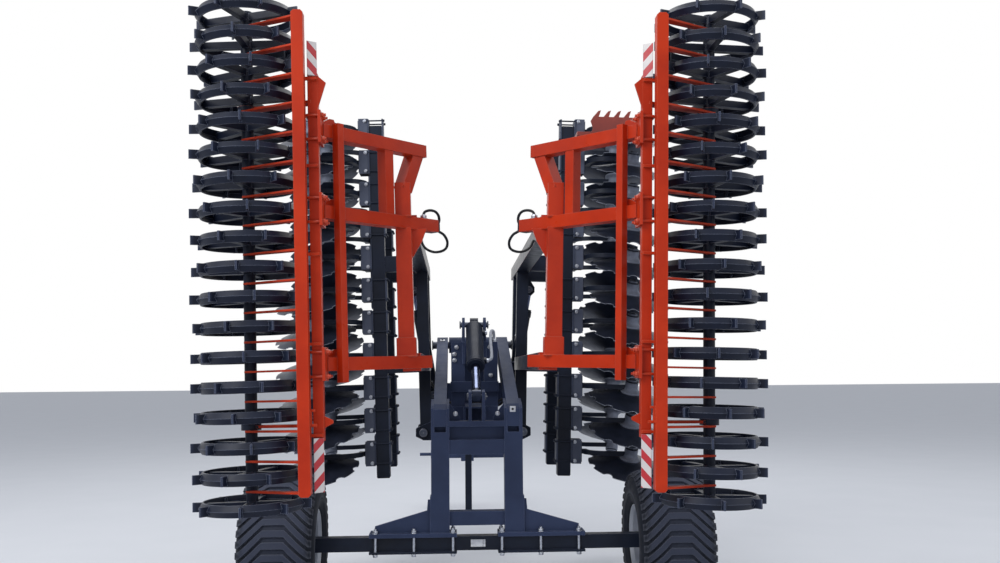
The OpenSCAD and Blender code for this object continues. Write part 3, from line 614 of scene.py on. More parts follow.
# --- Bench work ---


def clear() -> None:
    """Leaves edit mode and deselects everything."""
    if bpy.context.object is not None and bpy.context.mode != "OBJECT":
        bpy.ops.object.mode_set(mode="OBJECT")
    bpy.ops.object.select_all(action="DESELECT")


class Bench:
    """One piece on the bench, shaped with Blender's own operators, in millimetres."""

    def __init__(self, piece: bpy.types.Object) -> None:
        """Puts a mesh object on the bench."""
        self.piece = piece

    @classmethod
    def taken(cls, name: str) -> Bench:
        """Takes the primitive that was just added, with its place in its mesh.

        Args:
            name: Name of the piece.

        Returns:
            The bench with the piece.
        """
        piece = bpy.context.object
        piece.name = name
        bpy.ops.object.transform_apply(location=True, rotation=True, scale=True)
        return cls(piece)

    @classmethod
    def block(cls, name: str, size: Triple, at: Triple = (0, 0, 0)) -> Bench:
        """Starts from a block that is centred on a point.

        Args:
            name: Name of the piece.
            size: Lengths of its sides.
            at: Its middle.

        Returns:
            The bench with the block.
        """
        clear()
        bpy.ops.mesh.primitive_cube_add(size=1, location=Vector(at) * MM, scale=Vector(size) * MM)
        return cls.taken(name)

    @classmethod
    def drum(
        cls, name: str, radius: float, length: float, sides: int = 24, base: float = 0,
    ) -> Bench:
        """Starts from a round or many-sided bar along Z.

        Args:
            name: Name of the piece.
            radius: Radius of the bar.
            length: Its length.
            sides: Number of its sides.
            base: Height of its foot.

        Returns:
            The bench with the bar.
        """
        clear()
        bpy.ops.mesh.primitive_cylinder_add(
            vertices=sides, radius=radius * MM, depth=length * MM,
            location=(0, 0, (base + length / 2) * MM),
        )
        return cls.taken(name)

    @classmethod
    def tube(
        cls, name: str, line: Sequence[Triple], radius: float, rings: int = 3, closed: bool = False,
    ) -> Bench:
        """Draws a round bar along a line.

        Args:
            name: Name of the piece.
            line: Its points.
            radius: Radius of the bar.
            rings: Fineness of its round section.
            closed: Whether the line closes on itself.

        Returns:
            The bench with the bar as a mesh.
        """
        clear()
        bpy.ops.curve.primitive_bezier_curve_add()
        bar = bpy.context.object
        curve = bar.data
        curve.splines.clear()
        spline = curve.splines.new("POLY")
        spline.points.add(len(line) - 1)
        for point, at in zip(spline.points, line):
            point.co = (*(Vector(at) * MM), 1)
        spline.use_cyclic_u = closed
        curve.dimensions = "3D"
        curve.bevel_depth = radius * MM
        curve.bevel_resolution = rings
        curve.use_fill_caps = not closed
        bar.matrix_world = HERE
        bpy.ops.object.convert(target="MESH")
        bench = cls(bpy.context.object)
        bench.piece.name = name
        return bench.outward().smooth(50)

    @classmethod
    def spun(cls, name: str, outline: Sequence[Triple], steps: int, axis: Triple) -> Bench:
        """Spins a closed outline round an axis through the origin.

        Args:
            name: Name of the piece.
            outline: Its corners.
            steps: Steps of a full turn.
            axis: Direction of the axis.

        Returns:
            The bench with the closed form.
        """
        clear()
        bpy.ops.mesh.primitive_circle_add(vertices=len(outline), fill_type="NOTHING")
        bench = cls.taken(name)
        for vertex, point in zip(bench.piece.data.vertices, outline):
            vertex.co = Vector(point) * MM
        bench.edit("VERT")
        bpy.ops.mesh.spin(
            steps=steps, angle=math.tau, center=(0, 0, 0), axis=axis, use_auto_merge=False,
        )
        bpy.ops.mesh.select_all(action="SELECT")
        bpy.ops.mesh.remove_doubles(threshold=MERGE)
        return bench.outward()

    def hold(self) -> None:
        """Selects the piece alone and makes it the active one."""
        clear()
        self.piece.select_set(True)
        bpy.context.view_layer.objects.active = self.piece

    def edit(self, kind: str = "FACE", action: str = "SELECT") -> None:
        """Opens edit mode with everything selected, or nothing.

        Args:
            kind: What is selected: vertices, edges or faces.
            action: Whether all is selected or nothing.
        """
        self.hold()
        bpy.ops.object.mode_set(mode="EDIT")
        bpy.ops.mesh.select_mode(type=kind)
        bpy.ops.mesh.select_all(action=action)

    def inset(self, *steps: tuple[float, float], looks: Test = lambda way: way.z > FLAT) -> Bench:
        """Insets faces step by step.

        Args:
            steps: Width of each inset and its height along the normal.
            looks: Tells by its normal whether a face is meant.

        Returns:
            The bench itself.
        """
        self.edit(action="DESELECT")
        mesh = bmesh.from_edit_mesh(self.piece.data)
        for face in mesh.faces:
            face.select_set(looks(face.normal))
        mesh.select_flush_mode()
        bmesh.update_edit_mesh(self.piece.data)
        for width, depth in steps:
            bpy.ops.mesh.inset(thickness=width * MM, depth=depth * MM)
        clear()
        return self

    def outward(self) -> Bench:
        """Turns every face outwards.

        Returns:
            The bench itself.
        """
        self.edit()
        bpy.ops.mesh.normals_make_consistent(inside=False)
        clear()
        return self

    def soften(self, width: float, segments: int = 2, angle: float = 35) -> Bench:
        """Rounds the edges that are sharper than an angle and shades smooth.

        Args:
            width: Width of the rounding.
            segments: Its fineness.
            angle: Angle in degrees past which an edge is rounded.

        Returns:
            The bench itself.
        """
        self.hold()
        bevel = self.piece.modifiers.new("bevel", "BEVEL")
        bevel.width = width * MM
        bevel.segments = segments
        bevel.limit_method = "ANGLE"
        bevel.angle_limit = math.radians(angle)
        bevel.harden_normals = False
        bpy.ops.object.modifier_apply(modifier=bevel.name)
        return self.smooth()

    def smooth(self, angle: float = 40) -> Bench:
        """Shades the piece smooth below an angle.

        Args:
            angle: Angle in degrees.

        Returns:
            The bench itself.
        """
        self.hold()
        bpy.ops.object.shade_smooth_by_angle(angle=math.radians(angle))
        return self

    def place(self, place: Matrix) -> Bench:
        """Moves the mesh itself to a place.

        Args:
            place: The place, which may mirror.

        Returns:
            The bench itself.
        """
        clear()
        self.piece.data.transform(place)
        if place.determinant() < 0:
            self.piece.data.flip_normals()
        return self

    def join(self, *others: Bench) -> Bench:
        """Joins other pieces into this one.

        Args:
            others: The other pieces.

        Returns:
            The bench itself.
        """
        self.hold()
        for other in others:
            other.piece.select_set(True)
        if others:
            bpy.ops.object.join()
        return self

    def repeat(self, name: str, places: Sequence[Matrix], keep: bool = False) -> Bench:
        """Stands a copy of the piece at each place and joins them.

        Args:
            name: Name of the joined piece.
            places: Where the copies stand.
            keep: Whether this piece stays on the bench.

        Returns:
            The joined piece.
        """
        clear()
        copies = []
        for place in places:
            copy = self.piece.copy()
            copy.data = self.piece.data.copy()
            copy.name = name
            bpy.context.scene.collection.objects.link(copy)
            copies.append(Bench(copy).place(place))
        joined = copies[0].join(*copies[1:])
        joined.piece.name = name
        if not keep:
            clear()
            bpy.data.objects.remove(self.piece)
        return joined

    def dress(self, finish: Finish, body: str, slot: str = "bright_steel") -> Bench:
        """Gives the piece its finish and its body.

        Args:
            finish: Finish of the whole piece.
            body: CAD body that it rides on, or nothing for a piece that spans two, which then rides
                on none.
            slot: Not used.

        Returns:
            The bench itself.
        """
        clear()
        self.piece.data.materials.clear()
        self.piece.data.materials.append(finish.material())
        if body:
            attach(self.piece, body)
        LOG.info("piece %s is dressed in %s", self.piece.name, finish.name)
        return self


class Hose(Bench):
    """A hose along a smooth line."""

    def __init__(
        self, name: str, frame: Matrix, points: Sequence[Triple], radius: float, steps: int = 8,
    ) -> None:
        """Lays the hose.

        Args:
            name: Name of the piece.
            frame: Frame in which the points are given.
            points: Points that it passes, in millimetres.
            radius: Its radius.
            steps: Pieces between two neighbouring points.
        """
        self.line = [frame @ (p * MM) for p in flowing(points, steps)]
        self.radius = radius
        super().__init__(Bench.tube(name, [p / MM for p in self.line], radius).piece)

    def tie(self, far_end: str = "object", **more: object) -> None:
        """Leaves the hose as it is.

        Args:
            far_end: Not used.
            more: Not used.
        """


# --- Fasteners ---


@dataclass(frozen=True)
class Bolt:
    """A hexagon bolt head or nut on a washer, with the thread's end past it.

    Sizes are in millimetres. Z is the bolt's axis, and its seat is at zero.
    """

    thread: float = 16
    tail: float = 8
    plain: bool = False

    def pattern(self) -> Bench:
        """Makes one bolt at the origin.

        Returns:
            The bolt.
        """
        size, rim = self.thread, self.thread * 0.18
        head = Bench.drum("bolt_head", size * 0.87, size * 0.7, 6, rim)
        head.inset((size * 0.1, size * 0.06))
        parts = [Bench.drum("bolt_washer", size, rim, 12 if self.plain else 20)]
        if self.tail > 0:
            end = Bench.drum("bolt_end", size * 0.48, self.tail + 4, 10, size * 0.9 - 4)
            parts.append(end if self.plain else end.inset((size * 0.08, size * 0.06)))
        head.join(*parts)
        return head if self.plain else head.soften(size * 0.04, 1)


@dataclass
class BowBolts:
    """Square bow bolts that draw the roller arms' flanges to the clamp beam."""

    rod: float = 15
    beam: tuple[float, float] = (816, -1620)
    half: float = 26
    reach: float = 773.8
    spread: float = 61.5
    bend: float = 9

    def build(self, side: Side) -> None:
        """Bends one bow, adds its nuts and stands six of them on a wing.

        Args:
            side: Side of the machine.
        """
        x, y = self.beam
        out = x + self.half + self.rod / 2 + 0.5
        wide = self.half + self.rod / 2 + 1
        soft = self.bend * 0.3
        arm = [
            (self.reach - 25, -wide), (out - self.bend, -wide), (out - soft, -wide + soft),
            (out, -wide + self.bend),
        ]
        line = arm + [(px, -py) for px, py in arm[::-1]]
        bow = Bench.tube("bow", [(px, y + py, 0) for px, py in line], self.rod / 2)
        seats = [stand(HERE, (self.reach, y + k * wide, 0), (-1, 0, 0)) for k in PAIR]
        bow.join(Bolt(self.rod, 0).pattern().repeat("bow_nuts", seats))
        rows = [z + k * self.spread for z in ARM_ROWS for k in PAIR]
        made = bow.repeat(f"bow_bolts_{side.tag}", [side.wing @ shift(0, 0, z) for z in rows])
        made.dress(ORANGE, side.body, "orange_paint")


# --- Wheels and axle ---


@dataclass
class Wheel:
    """Wide flotation tyre with nested chevron lugs, wheel nuts and a hub cap.

    Sizes are in millimetres. Its axis is X and its middle is at the origin.
    """

    radius: float = 466
    bead: float = 218
    depth: float = 18
    sunk: float = 2
    lugs: int = 40
    lug: float = 44
    flare: float = 1.12
    flat: float = 66
    shoulder: float = 203
    nuts: int = 10
    nut_circle: float = 84
    nut_face: float = 29.8

    def crown(self, x: float) -> float:
        """Radius over the lugs at a distance from the middle.

        Args:
            x: Distance from the middle along the axis.

        Returns:
            The radius.
        """
        along = [(0, 0), (60, 1.5), (120, 5.5), (165, 11), (200, 22), (222, 42), (233, 66)]
        x = abs(x)
        for (a, drop_a), (b, drop_b) in zip(along, along[1:]):
            if x <= b:
                return self.radius - drop_a - (drop_b - drop_a) * (x - a) / (b - a)
        return self.radius - along[-1][1]

    def carcass(self, name: str) -> Bench:
        """Spins the casing under the lugs, closed round the bead.

        Args:
            name: Name of the piece.

        Returns:
            The casing.
        """
        outer = [(x, self.crown(x) - self.depth) for x in (0, 60, 120, 165, 196, 215, 227)]
        wall = [(236, 96), (239, 130), (236, 158), (239, 162), (238, 178), (234, 183)]
        bead = [(222, 34), (206, 16), (192, 3), (172, 20), (0, 22)]
        right = outer + [(x, self.radius - drop) for x, drop in wall]
        right += [(x, self.bead + rise) for x, rise in bead]
        line = right + [(-x, r) for x, r in right if x > 0][::-1]
        bench = Bench.spun(name, [(x, 0, r) for x, r in line], 102, (1, 0, 0))
        return bench.smooth(60)

    def tread_lug(self) -> Bench:
        """Lays one lug over the crown and raises it from the casing.

        Returns:
            The lug.
        """
        half = (33, 66, 92, 120, 150, 180, 203, 220)
        stops = tuple(-x for x in reversed(half)) + (0,) + half
        clear()
        bpy.ops.mesh.primitive_grid_add(x_subdivisions=len(stops) - 1, y_subdivisions=1, size=2)
        bench = Bench.taken("tread_lug")
        mesh = bench.piece.data
        columns = sorted({round(v.co.x, 5) for v in mesh.vertices})
        for vertex in mesh.vertices:
            x = stops[columns.index(round(vertex.co.x, 5))]
            slide = max(0, min(abs(x), self.shoulder) - self.flat)
            wide = self.lug * (self.flare if abs(x) > self.flat else 1)
            arc = (math.copysign(wide / 2, vertex.co.y) - slide) / self.radius
            reach = self.crown(x) - self.depth - self.sunk
            vertex.co = Vector((x, math.sin(arc) * reach, math.cos(arc) * reach)) * MM
        bench.outward()
        if sum(p.normal.z for p in mesh.polygons) < 0:
            mesh.flip_normals()
        bench.edit()
        raise_by = {"value": (self.depth + self.sunk) * MM}
        bpy.ops.mesh.extrude_region_shrink_fatten(TRANSFORM_OT_shrink_fatten=raise_by)
        return bench.outward().soften(2.5, 1, 30)

    def build(self, side: Side) -> None:
        """Makes the tyre, with its lugs round it, in place of the plain solid.

        Args:
            side: Side of the machine.
        """
        turns = [turned(360 * i / self.lugs, "X") for i in range(self.lugs)]
        tread = self.tread_lug().repeat("tread", turns)
        tyre = self.carcass(f"tread_tyre_{side.tag}").join(tread)
        tyre.place(side.machine @ shift(*WHEEL))
        tyre.dress(TYRE_RUBBER[side], f"wheel_{side.tag}", "tyre_rubber")
        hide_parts(f"tyre_{side.tag}")
        self.fittings(side)

    def fittings(self, side: Side) -> None:
        """Puts the wheel nuts and the hub cap on the outer face of a wheel.

        Args:
            side: Side of the machine.
        """
        frame = side.machine @ shift(*WHEEL) @ turned(90, "Y")
        body = f"wheel_{side.tag}"
        seats = [stand(frame, at) for at in ring(self.nut_circle, self.nuts, self.nut_face)]
        Bolt(20, 12).pattern().repeat(f"wheel_nuts_{side.tag}", seats).dress(ZINC, body)
        cap = Bench.drum(f"hub_cap_{side.tag}", 47, 24, 40, 92).inset((8, 8), (14, 4))
        cap.soften(2.5, 3).place(frame).dress(GRAPHITE, body, "graphite_paint")


@dataclass
class Axle:
    """Studs that draw the clamp plates together, and blank plates of aluminium."""

    rows: tuple[float, ...] = (160, 415, 665)
    depth: float = 62
    ends: tuple[float, float] = (393, 566)
    plates: tuple[float, float] = (407.2, 536.8)
    plate: tuple[float, float] = (-4, 466)
    size: tuple[float, float] = (80, 47)
    strip: float = 14

    def build(self) -> None:
        """Stands every stud with a nut on each plate."""
        low, high = self.ends
        stud = Bench.drum("stud", 10, high - low, 16, low)
        stud.inset((2, 2), looks=lambda way: abs(way.z) > FLAT)
        seats = [stand(HERE, (0, 0, z), (0, 0, way)) for z, way in zip(self.plates, PAIR)]
        stud.join(Bolt(20, 0).pattern().repeat("stud_nuts", seats)).smooth(35)
        stud.repeat("axle_studs", [
            side.machine @ shift(x, k * self.depth, 0) for side in Side for x in self.rows
            for k in PAIR
        ]).dress(ZINC, "running_gear")
        self.blank_plates()

    def blank_plates(self) -> None:
        """Rivets a blank plate and a narrow strip to the axle's rear face."""
        (x, z), (wide, high) = self.plate, self.size
        parts = []
        for cx, w in ((x, wide), (x + wide / 2 + 9, self.strip)):
            plate = Bench.block("blank_plates", (w, 1.5, high), (cx, -45.8, z))
            parts.append(plate.inset((2.5, -0.4), looks=lambda way: way.y < -FLAT))
            for k in PAIR:
                rivet = Bench.drum("rivet", 2.6, 1.6, 12).inset((1, 0.5))
                at = (cx + k * (w / 2 - 6), -46.4, z)
                parts.append(rivet.place(stand(HERE, at, (0, -1, 0))))
        made = parts[0].join(*parts[1:])
        made.place(MACHINE).smooth(35).dress(PLATE_ALUMINIUM, "running_gear")


# --- Wings ---


@dataclass
class DiscArmFittings:
    """Fittings of one wing's disc arms and caps on the ends of their beams.

    Seats are given from the beam's middle at each arm.
    """

    discs: int = 11
    pitch: float = 250
    low: float = 977
    beam_x: float = 695
    beam_ends: tuple[float, float] = (797, 3508)
    rows: tuple[tuple[float, int], ...] = ((1040, 1), (1940, -1))
    hub_x: float = 1181
    trail: float = 200
    angle: float = 17
    camber: float = 8
    face: float = 49.8
    nut_circle: float = 66
    clear_of_arm: float = 150
    clamp_seat: tuple[float, float] = (57, 74)
    cheek_seat: float = 53.5
    cheek_bolt_seat: Triple = (80, 56.2, 72)
    cord_seat: Triple = (100, 28, 77.8)
    cord_gap: float = 17.5

    def hub_frame(self, side: Side, y: float, z: float, way: int) -> Matrix:
        """Frame of a hub, with Z along the disc's axis towards the disc.

        Args:
            side: Side of the machine.
            y: Place of its row along the machine.
            z: Height of its arm on the wing.
            way: Which way the row's discs are turned.

        Returns:
            The frame.
        """
        turn = turned(self.camber, "Y") @ turned(way * self.angle, "X")
        frame = side.wing @ shift(self.hub_x, y - self.trail, z) @ turn
        return frame @ Matrix.Diagonal((1, 1, -way, 1))

    def build(self, side: Side) -> None:
        """Puts the fittings on all disc arms of a wing and caps on its beams.

        Args:
            side: Side of the machine.
        """
        wing, body, x = side.wing, side.body, self.beam_x
        heights = [self.low + i * self.pitch for i in range(self.discs)]
        arms = [(y, z) for y, _ in self.rows for z in heights]
        low, mid, _ = ARM_ROWS
        free = [(y, z) for y, z in arms if min(abs(z - low), abs(z - mid)) > self.clear_of_arm]
        hubs = [self.hub_frame(side, y, z, way) for y, way in self.rows for z in heights]
        corners = [(ky, kz) for ky in PAIR for kz in PAIR]
        sy, sz = self.clamp_seat
        self.through_bolt().repeat(f"clamp_bolts_{side.tag}", [
            wing @ shift(x, y + ky * sy, z + kz * sz) for y, z in free for ky, kz in corners
        ]).dress(BLACK, body)
        cheek = Bench.block("clamp_cheek", (74, 9, 186), (94, 0, 0))
        cheek.inset((7, -1.5), looks=lambda way: abs(way.y) > FLAT).soften(2)
        cheek.repeat(f"clamp_cheeks_{side.tag}", [
            wing @ shift(x, y + k * self.cheek_seat, z) for y, z in arms for k in PAIR
        ]).dress(CHEEK_GREY, body, "graphite_paint")
        sx, sy, sz = self.cheek_bolt_seat
        Bolt(15, 6, plain=True).pattern().repeat(f"cheek_bolts_{side.tag}", [
            stand(wing, (x + sx, y + ky * sy, z + kz * sz), (0, ky, 0)) for y, z in arms
            for ky, kz in corners
        ]).dress(ZINC, body)
        cord = Bench.drum("rubber_cord", 17, 9, 14).inset((5, 3))
        sx, sy, sz = self.cord_seat
        cord.repeat(f"rubber_cords_{side.tag}", [
            stand(wing, (x + sx + kx * self.cord_gap, y + ky * sy, z + kz * sz), (0, 0, kz))
            for y, z in arms for kx in PAIR for ky, kz in corners
        ]).smooth(50).dress(HOSE_RUBBER, body, "black_paint")
        Bolt(12, 4, plain=True).pattern().repeat(f"hub_bolts_{side.tag}", [
            stand(hub, at) for hub in hubs for at in ring(self.nut_circle, 5, self.face)
        ]).dress(ZINC, body)
        self.housing().repeat(f"hub_housings_{side.tag}", hubs).dress(HUB_CAST, body)
        cap = Bench.drum("hub_end", 38, 12).inset((9, 5)).soften(1.5)
        seats = [stand(hub, (0, 0, self.face)) for hub in hubs]
        cap.repeat(f"hub_ends_{side.tag}", seats).dress(CLAMP_GREY, body)
        cap = Bench.block("beam_cap", (92, 92, 7), (0, 0, 3.4))
        cap.inset((9, 0), (3, -3)).soften(2).repeat(f"beam_caps_{side.tag}", [
            stand(wing, (x, y, z), (0, 0, way)) for y, _ in self.rows
            for z, way in zip(self.beam_ends, PAIR)
        ]).dress(HOSE_RUBBER, body, "black_paint")

    def through_bolt(self) -> Bench:
        """Makes one bolt that draws a housing's plate to the strap across the beam.

        Returns:
            The bolt with its nuts.
        """
        rod = Bench.drum("through_bolt", 6, 150, 12, -75).place(turned(90, "Y"))
        ends = [stand(HERE, (x, 0, 0), (way, 0, 0)) for x, way in ((64, 1), (-62, -1))]
        nuts = Bolt(12, 0, plain=True).pattern().repeat("through_nuts", ends)
        return rod.join(nuts).smooth(35)

    def housing(self) -> Bench:
        """Turns one cast hub housing that tapers away from its disc.

        Returns:
            The housing.
        """
        line = [
            (0, -64), (24, -64), (31, -60), (34, -50), (45, -46), (51, -38), (51, -4), (54, 8),
            (62, 20), (74, 28), (78, 32), (78, 43.5), (0, 43.5),
        ]
        outline = [(r, 0, z) for r, z in line]
        return Bench.spun("hub_housing", outline, 28, (0, 0, 1)).smooth(35)


# --- Pins ---


@dataclass
class Pins:
    """Ends of every pivot pin of the machine, with collars and a grease nipple."""

    collar: float = 9
    wide: float = 7

    def build(self) -> None:
        """Makes the pins in the middle and on both sides."""
        across, back = (1, 0, 0), (0, -1, 0)
        at = stand(MACHINE, (0, 1550, 1800), across)
        self.pin("gear_pin_ends", "centre", at, 30, 320)
        self.pin("lift_pin_ends", "centre", stand(MACHINE, (0, 700, 1929), across), 20, 98)
        at = stand(MACHINE, (0, -60, 1420), across)
        self.pin("lift_eye_pin", "running_gear", at, 14.8, 55, True)
        for side in Side:
            for i, y in enumerate((1250, 1750)):
                at = stand(side.machine, (390, y, 1110), back)
                self.pin(f"fold_pin_ends_{side.tag}_{i}", "centre", at, 25, 78)
            at = stand(side.machine, (318, 1500, 1400), back)
            self.pin(f"cylinder_foot_pin_{side.tag}", "centre", at, 20, 58)
            at = stand(side.wing, (440, 1500, 2250), back)
            self.pin(f"cylinder_head_pin_{side.tag}", side.body, at, 19.5, 56, True)

    def pin(
        self, name: str, body: str, place: Matrix, radius: float, half: float, shank: bool = False,
    ) -> None:
        """Makes a pin's ends.

        Args:
            name: Name of the piece.
            body: CAD body that it rides on.
            place: Middle of the pin, with Z along it.
            radius: Radius of the pin.
            half: Half its length between the collars.
            shank: Whether the shank is made too, as the CAD has none.
        """
        parts = []
        if shank:
            parts.append(Bench.drum(name, radius, half * 2, 32, -half))
        for way in PAIR:
            collar = Bench.drum(name, radius + self.collar, self.wide, 32)
            collar.inset((3, 2.5), (radius * 0.35, -1.5))
            parts.append(collar.place(stand(HERE, (0, 0, way * half), (0, 0, way))))
        made = parts[0].join(*parts[1:]).soften(0.8, 1)
        nipple = Bench.drum("nipple", 4, 7, 6, half + 6)
        made.join(nipple, Bench.drum("nipple_tip", 2.6, 6, 10, half + 12))
        made.place(place).dress(PIN_STEEL, body)


# --- Hydraulics ---


@dataclass
class FoldCylinder:
    """Gland, ports, pipe and hoses of a fold cylinder."""

    foot: Triple = (318, 1500, 1400)
    tilt: float = 10.147
    ports: tuple[float, float] = (612, 100)
    straps: tuple[float, float] = (470, 250)

    def build(self, side: Side) -> None:
        """Makes the fittings and leads two hoses to the middle frame.

        Args:
            side: Side of the machine.
        """
        local = shift(*self.foot) @ turned(self.tilt, "Y")
        frame, body = side.machine @ local, f"fold_barrel_{side.tag}"
        gland = Bench.drum(f"cylinder_gland_{side.tag}", 50, 16, 40, 684)
        gland.inset((8, 0), (12, -3)).soften(1)
        parts = [Bench.drum("base_band", 50.5, 10, 40, 66).soften(3)]
        clips = []
        for z in self.ports:
            parts.append(Bench.block("port", (30, 22, 30), (0, -56, z)).soften(2.5))
            union = Bench.drum("union", 13, 16, 6).inset((3, 1))
            clips.append(union.place(stand(HERE, (0, -66.5, z), (0, -1, 0))))
        gland.join(*parts).place(frame).dress(BLACK, body, "black_paint")
        for z in self.straps:
            saddle = Bench.block("saddle", (30, 22, 18), (12, -60, z + 7))
            clips += [Bench.drum("strap", 49.8, 14, 32, z).soften(1, 1), saddle.soften(2, 1)]
        line = flowing([
            (0, -64, 612), (0, -78, 612), (4, -82, 596), (10, -70, 520),
            (12, -66, 400), (12, -66, 260), (12, -68, 180), (10, -72, 150),
        ])
        pipe = Bench.tube(f"cylinder_pipe_{side.tag}", line, 6).join(*clips)
        pipe.smooth().place(frame).dress(ZINC, body)
        for name, start, bend, y, z in (
            ("high", (10, -72, 150), (0, -84, 100), 1352, 1330),
            ("low", (0, -74, 100), (-14, -98, 60), 1392, 1296),
        ):
            near = [(local @ (Vector(p) * MM)) / MM for p in (start, bend)]
            far = [(236, y - 22, z + 34), (160, y - 12, z + 4), (92, y, z)]
            points = near + far + [(80.5, y, z)]
            hose = Hose(f"fold_hose_{name}_{side.tag}", side.machine, points, 9, 10)
            hose.dress(HOSE_RUBBER, "", "black_paint")
            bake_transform(hose.piece)
            hose.tie()


@dataclass
class LiftCylinder:
    """Gland, ports and hose of the cylinder that lifts the machine on its wheels."""

    eye: Triple = (0, -60, 1420)
    tilt: float = 33.812
    ports: tuple[float, float] = (430, 800)
    bulkhead: Triple = (146, 660, 1800)

    def build(self) -> None:
        """Makes the fittings and leads the pale hose over the right column."""
        local = shift(*self.eye) @ turned(self.tilt - 90, "X")
        frame = MACHINE @ local
        gland = Bench.drum("lift_gland", 60, 10, 48, 352)
        gland.inset((10, 0), (16, -2.5), looks=lambda way: way.z < -FLAT).soften(1.5)
        parts = [Bench.drum("seam", 63.5, 9, 48, 404).soften(3)]
        unions = []
        for z in self.ports:
            parts.append(Bench.block("port", (24, 34, 34), (68, 0, z)).soften(3))
            union = Bench.drum("lift_unions", 15, 14, 6).inset((3, 1))
            unions.append(union.place(stand(HERE, (79.5, 0, z), (1, 0, 0))))
        gland.join(*parts).place(frame).dress(BLACK, "lift_barrel", "black_paint")
        unions[0].join(unions[1]).place(frame).dress(ZINC, "lift_barrel")
        near = [(local @ (Vector(p) * MM)) / MM for p in ((112, -4, 452), (86, 0, 430))]
        hose = Hose("lift_hose", MACHINE, [
            self.bulkhead, (146, 656, 1842), (140, 634, 1878), (122, 594, 1872),
            (116, 520, 1800), (118, 400, 1716), *near,
        ], 11, 10)
        hose.dress(HOSE_SLEEVE, "")
        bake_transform(hose.piece)
        hose.tie()
        seat = stand(MACHINE, self.bulkhead)
        Bolt(24, 6).pattern().repeat("hose_bulkhead", [seat]).dress(ZINC, "centre")


@dataclass
class WingHoses:
    """Two short hoses that loop at the inner end of a wing's middle roller arm."""

    high: tuple[Triple, ...] = (
        (284, -1000, 2462), (284, -1000, 2482), (274, -994, 2503), (246, -976, 2513),
        (216, -955, 2508), (198, -938, 2486), (196, -924, 2456), (210, -913, 2432),
    )
    low: tuple[Triple, ...] = (
        (212, -914, 2404), (196, -890, 2398), (170, -850, 2384), (152, -800, 2352),
        (160, -745, 2320), (192, -700, 2306), (240, -650, 2310), (288, -606, 2340),
        (315, -575, 2390),
    )
    nut: Triple = (284, -1000, 2458.7)

    def build(self, side: Side) -> None:
        """Bends both hoses and screws a nut on the upper one's start.

        Args:
            side: Side of the machine.
        """
        for name, points in (("high", self.high), ("low", self.low)):
            hose = Hose(f"wing_hose_{name}_{side.tag}", side.wing, points, 8)
            hose.dress(HOSE_RUBBER, side.body, "black_paint")
            hose.tie()
        nut = Bolt(24, 6).pattern().repeat(f"wing_hose_nut_{side.tag}", [
            stand(side.wing, self.nut)
        ])
        nut.dress(ZINC, side.body)


# --- Middle frame and drawbar ---


@dataclass
class ColumnBolts:
    """Bolts on the columns and on the elbow gussets, and two square washers."""

    spots: tuple[tuple[float, float], ...] = (
        (-130, 1762), (-146, 1711), (-146, 1667), (112, 1762), (119, 1556),
    )
    elbow: Triple = (238, 0, 1336)
    arm_top: Triple = (-242, 1400, 1834.2)
    arm_slope: float = -71.94

    def build(self) -> None:
        """Screws them to the middle frame and to the running gear."""
        bolt = Bolt(16, 6).pattern()
        seats = [stand(MACHINE, (x, 619.8, z), (0, -1, 0)) for x, z in self.spots]
        bolt.repeat("column_bolts", seats, keep=True).dress(ZINC, "centre")
        seats = [stand(MACHINE, (k * 140, -7.7, 1306), (0, -1, 0)) for k in PAIR]
        bolt.repeat("gusset_bolts", seats).dress(ZINC, "running_gear")
        plate = Bench.block("square_washer", (38, 4, 38), (0, -61.8, 0)).soften(1, 1)
        # The black disc in each square washer's hole is painted shade in the hole.
        dot = Bench.drum("washer_hole", 8, 3, 16).inset((2, -2))
        dot.place(stand(HERE, (0, -63.6, 0), (0, -1, 0)))
        slope = shift(*self.arm_top) @ turned(self.arm_slope, "X") @ shift(0, 59.7, 0)
        places = [MACHINE @ shift(*self.elbow), MACHINE @ slope]
        plate.repeat("square_washers", places).dress(PLATE_ALUMINIUM, "running_gear")
        holes = dot.repeat("square_washer_holes", places)
        holes.dress(HOSE_RUBBER, "running_gear", "black_paint")


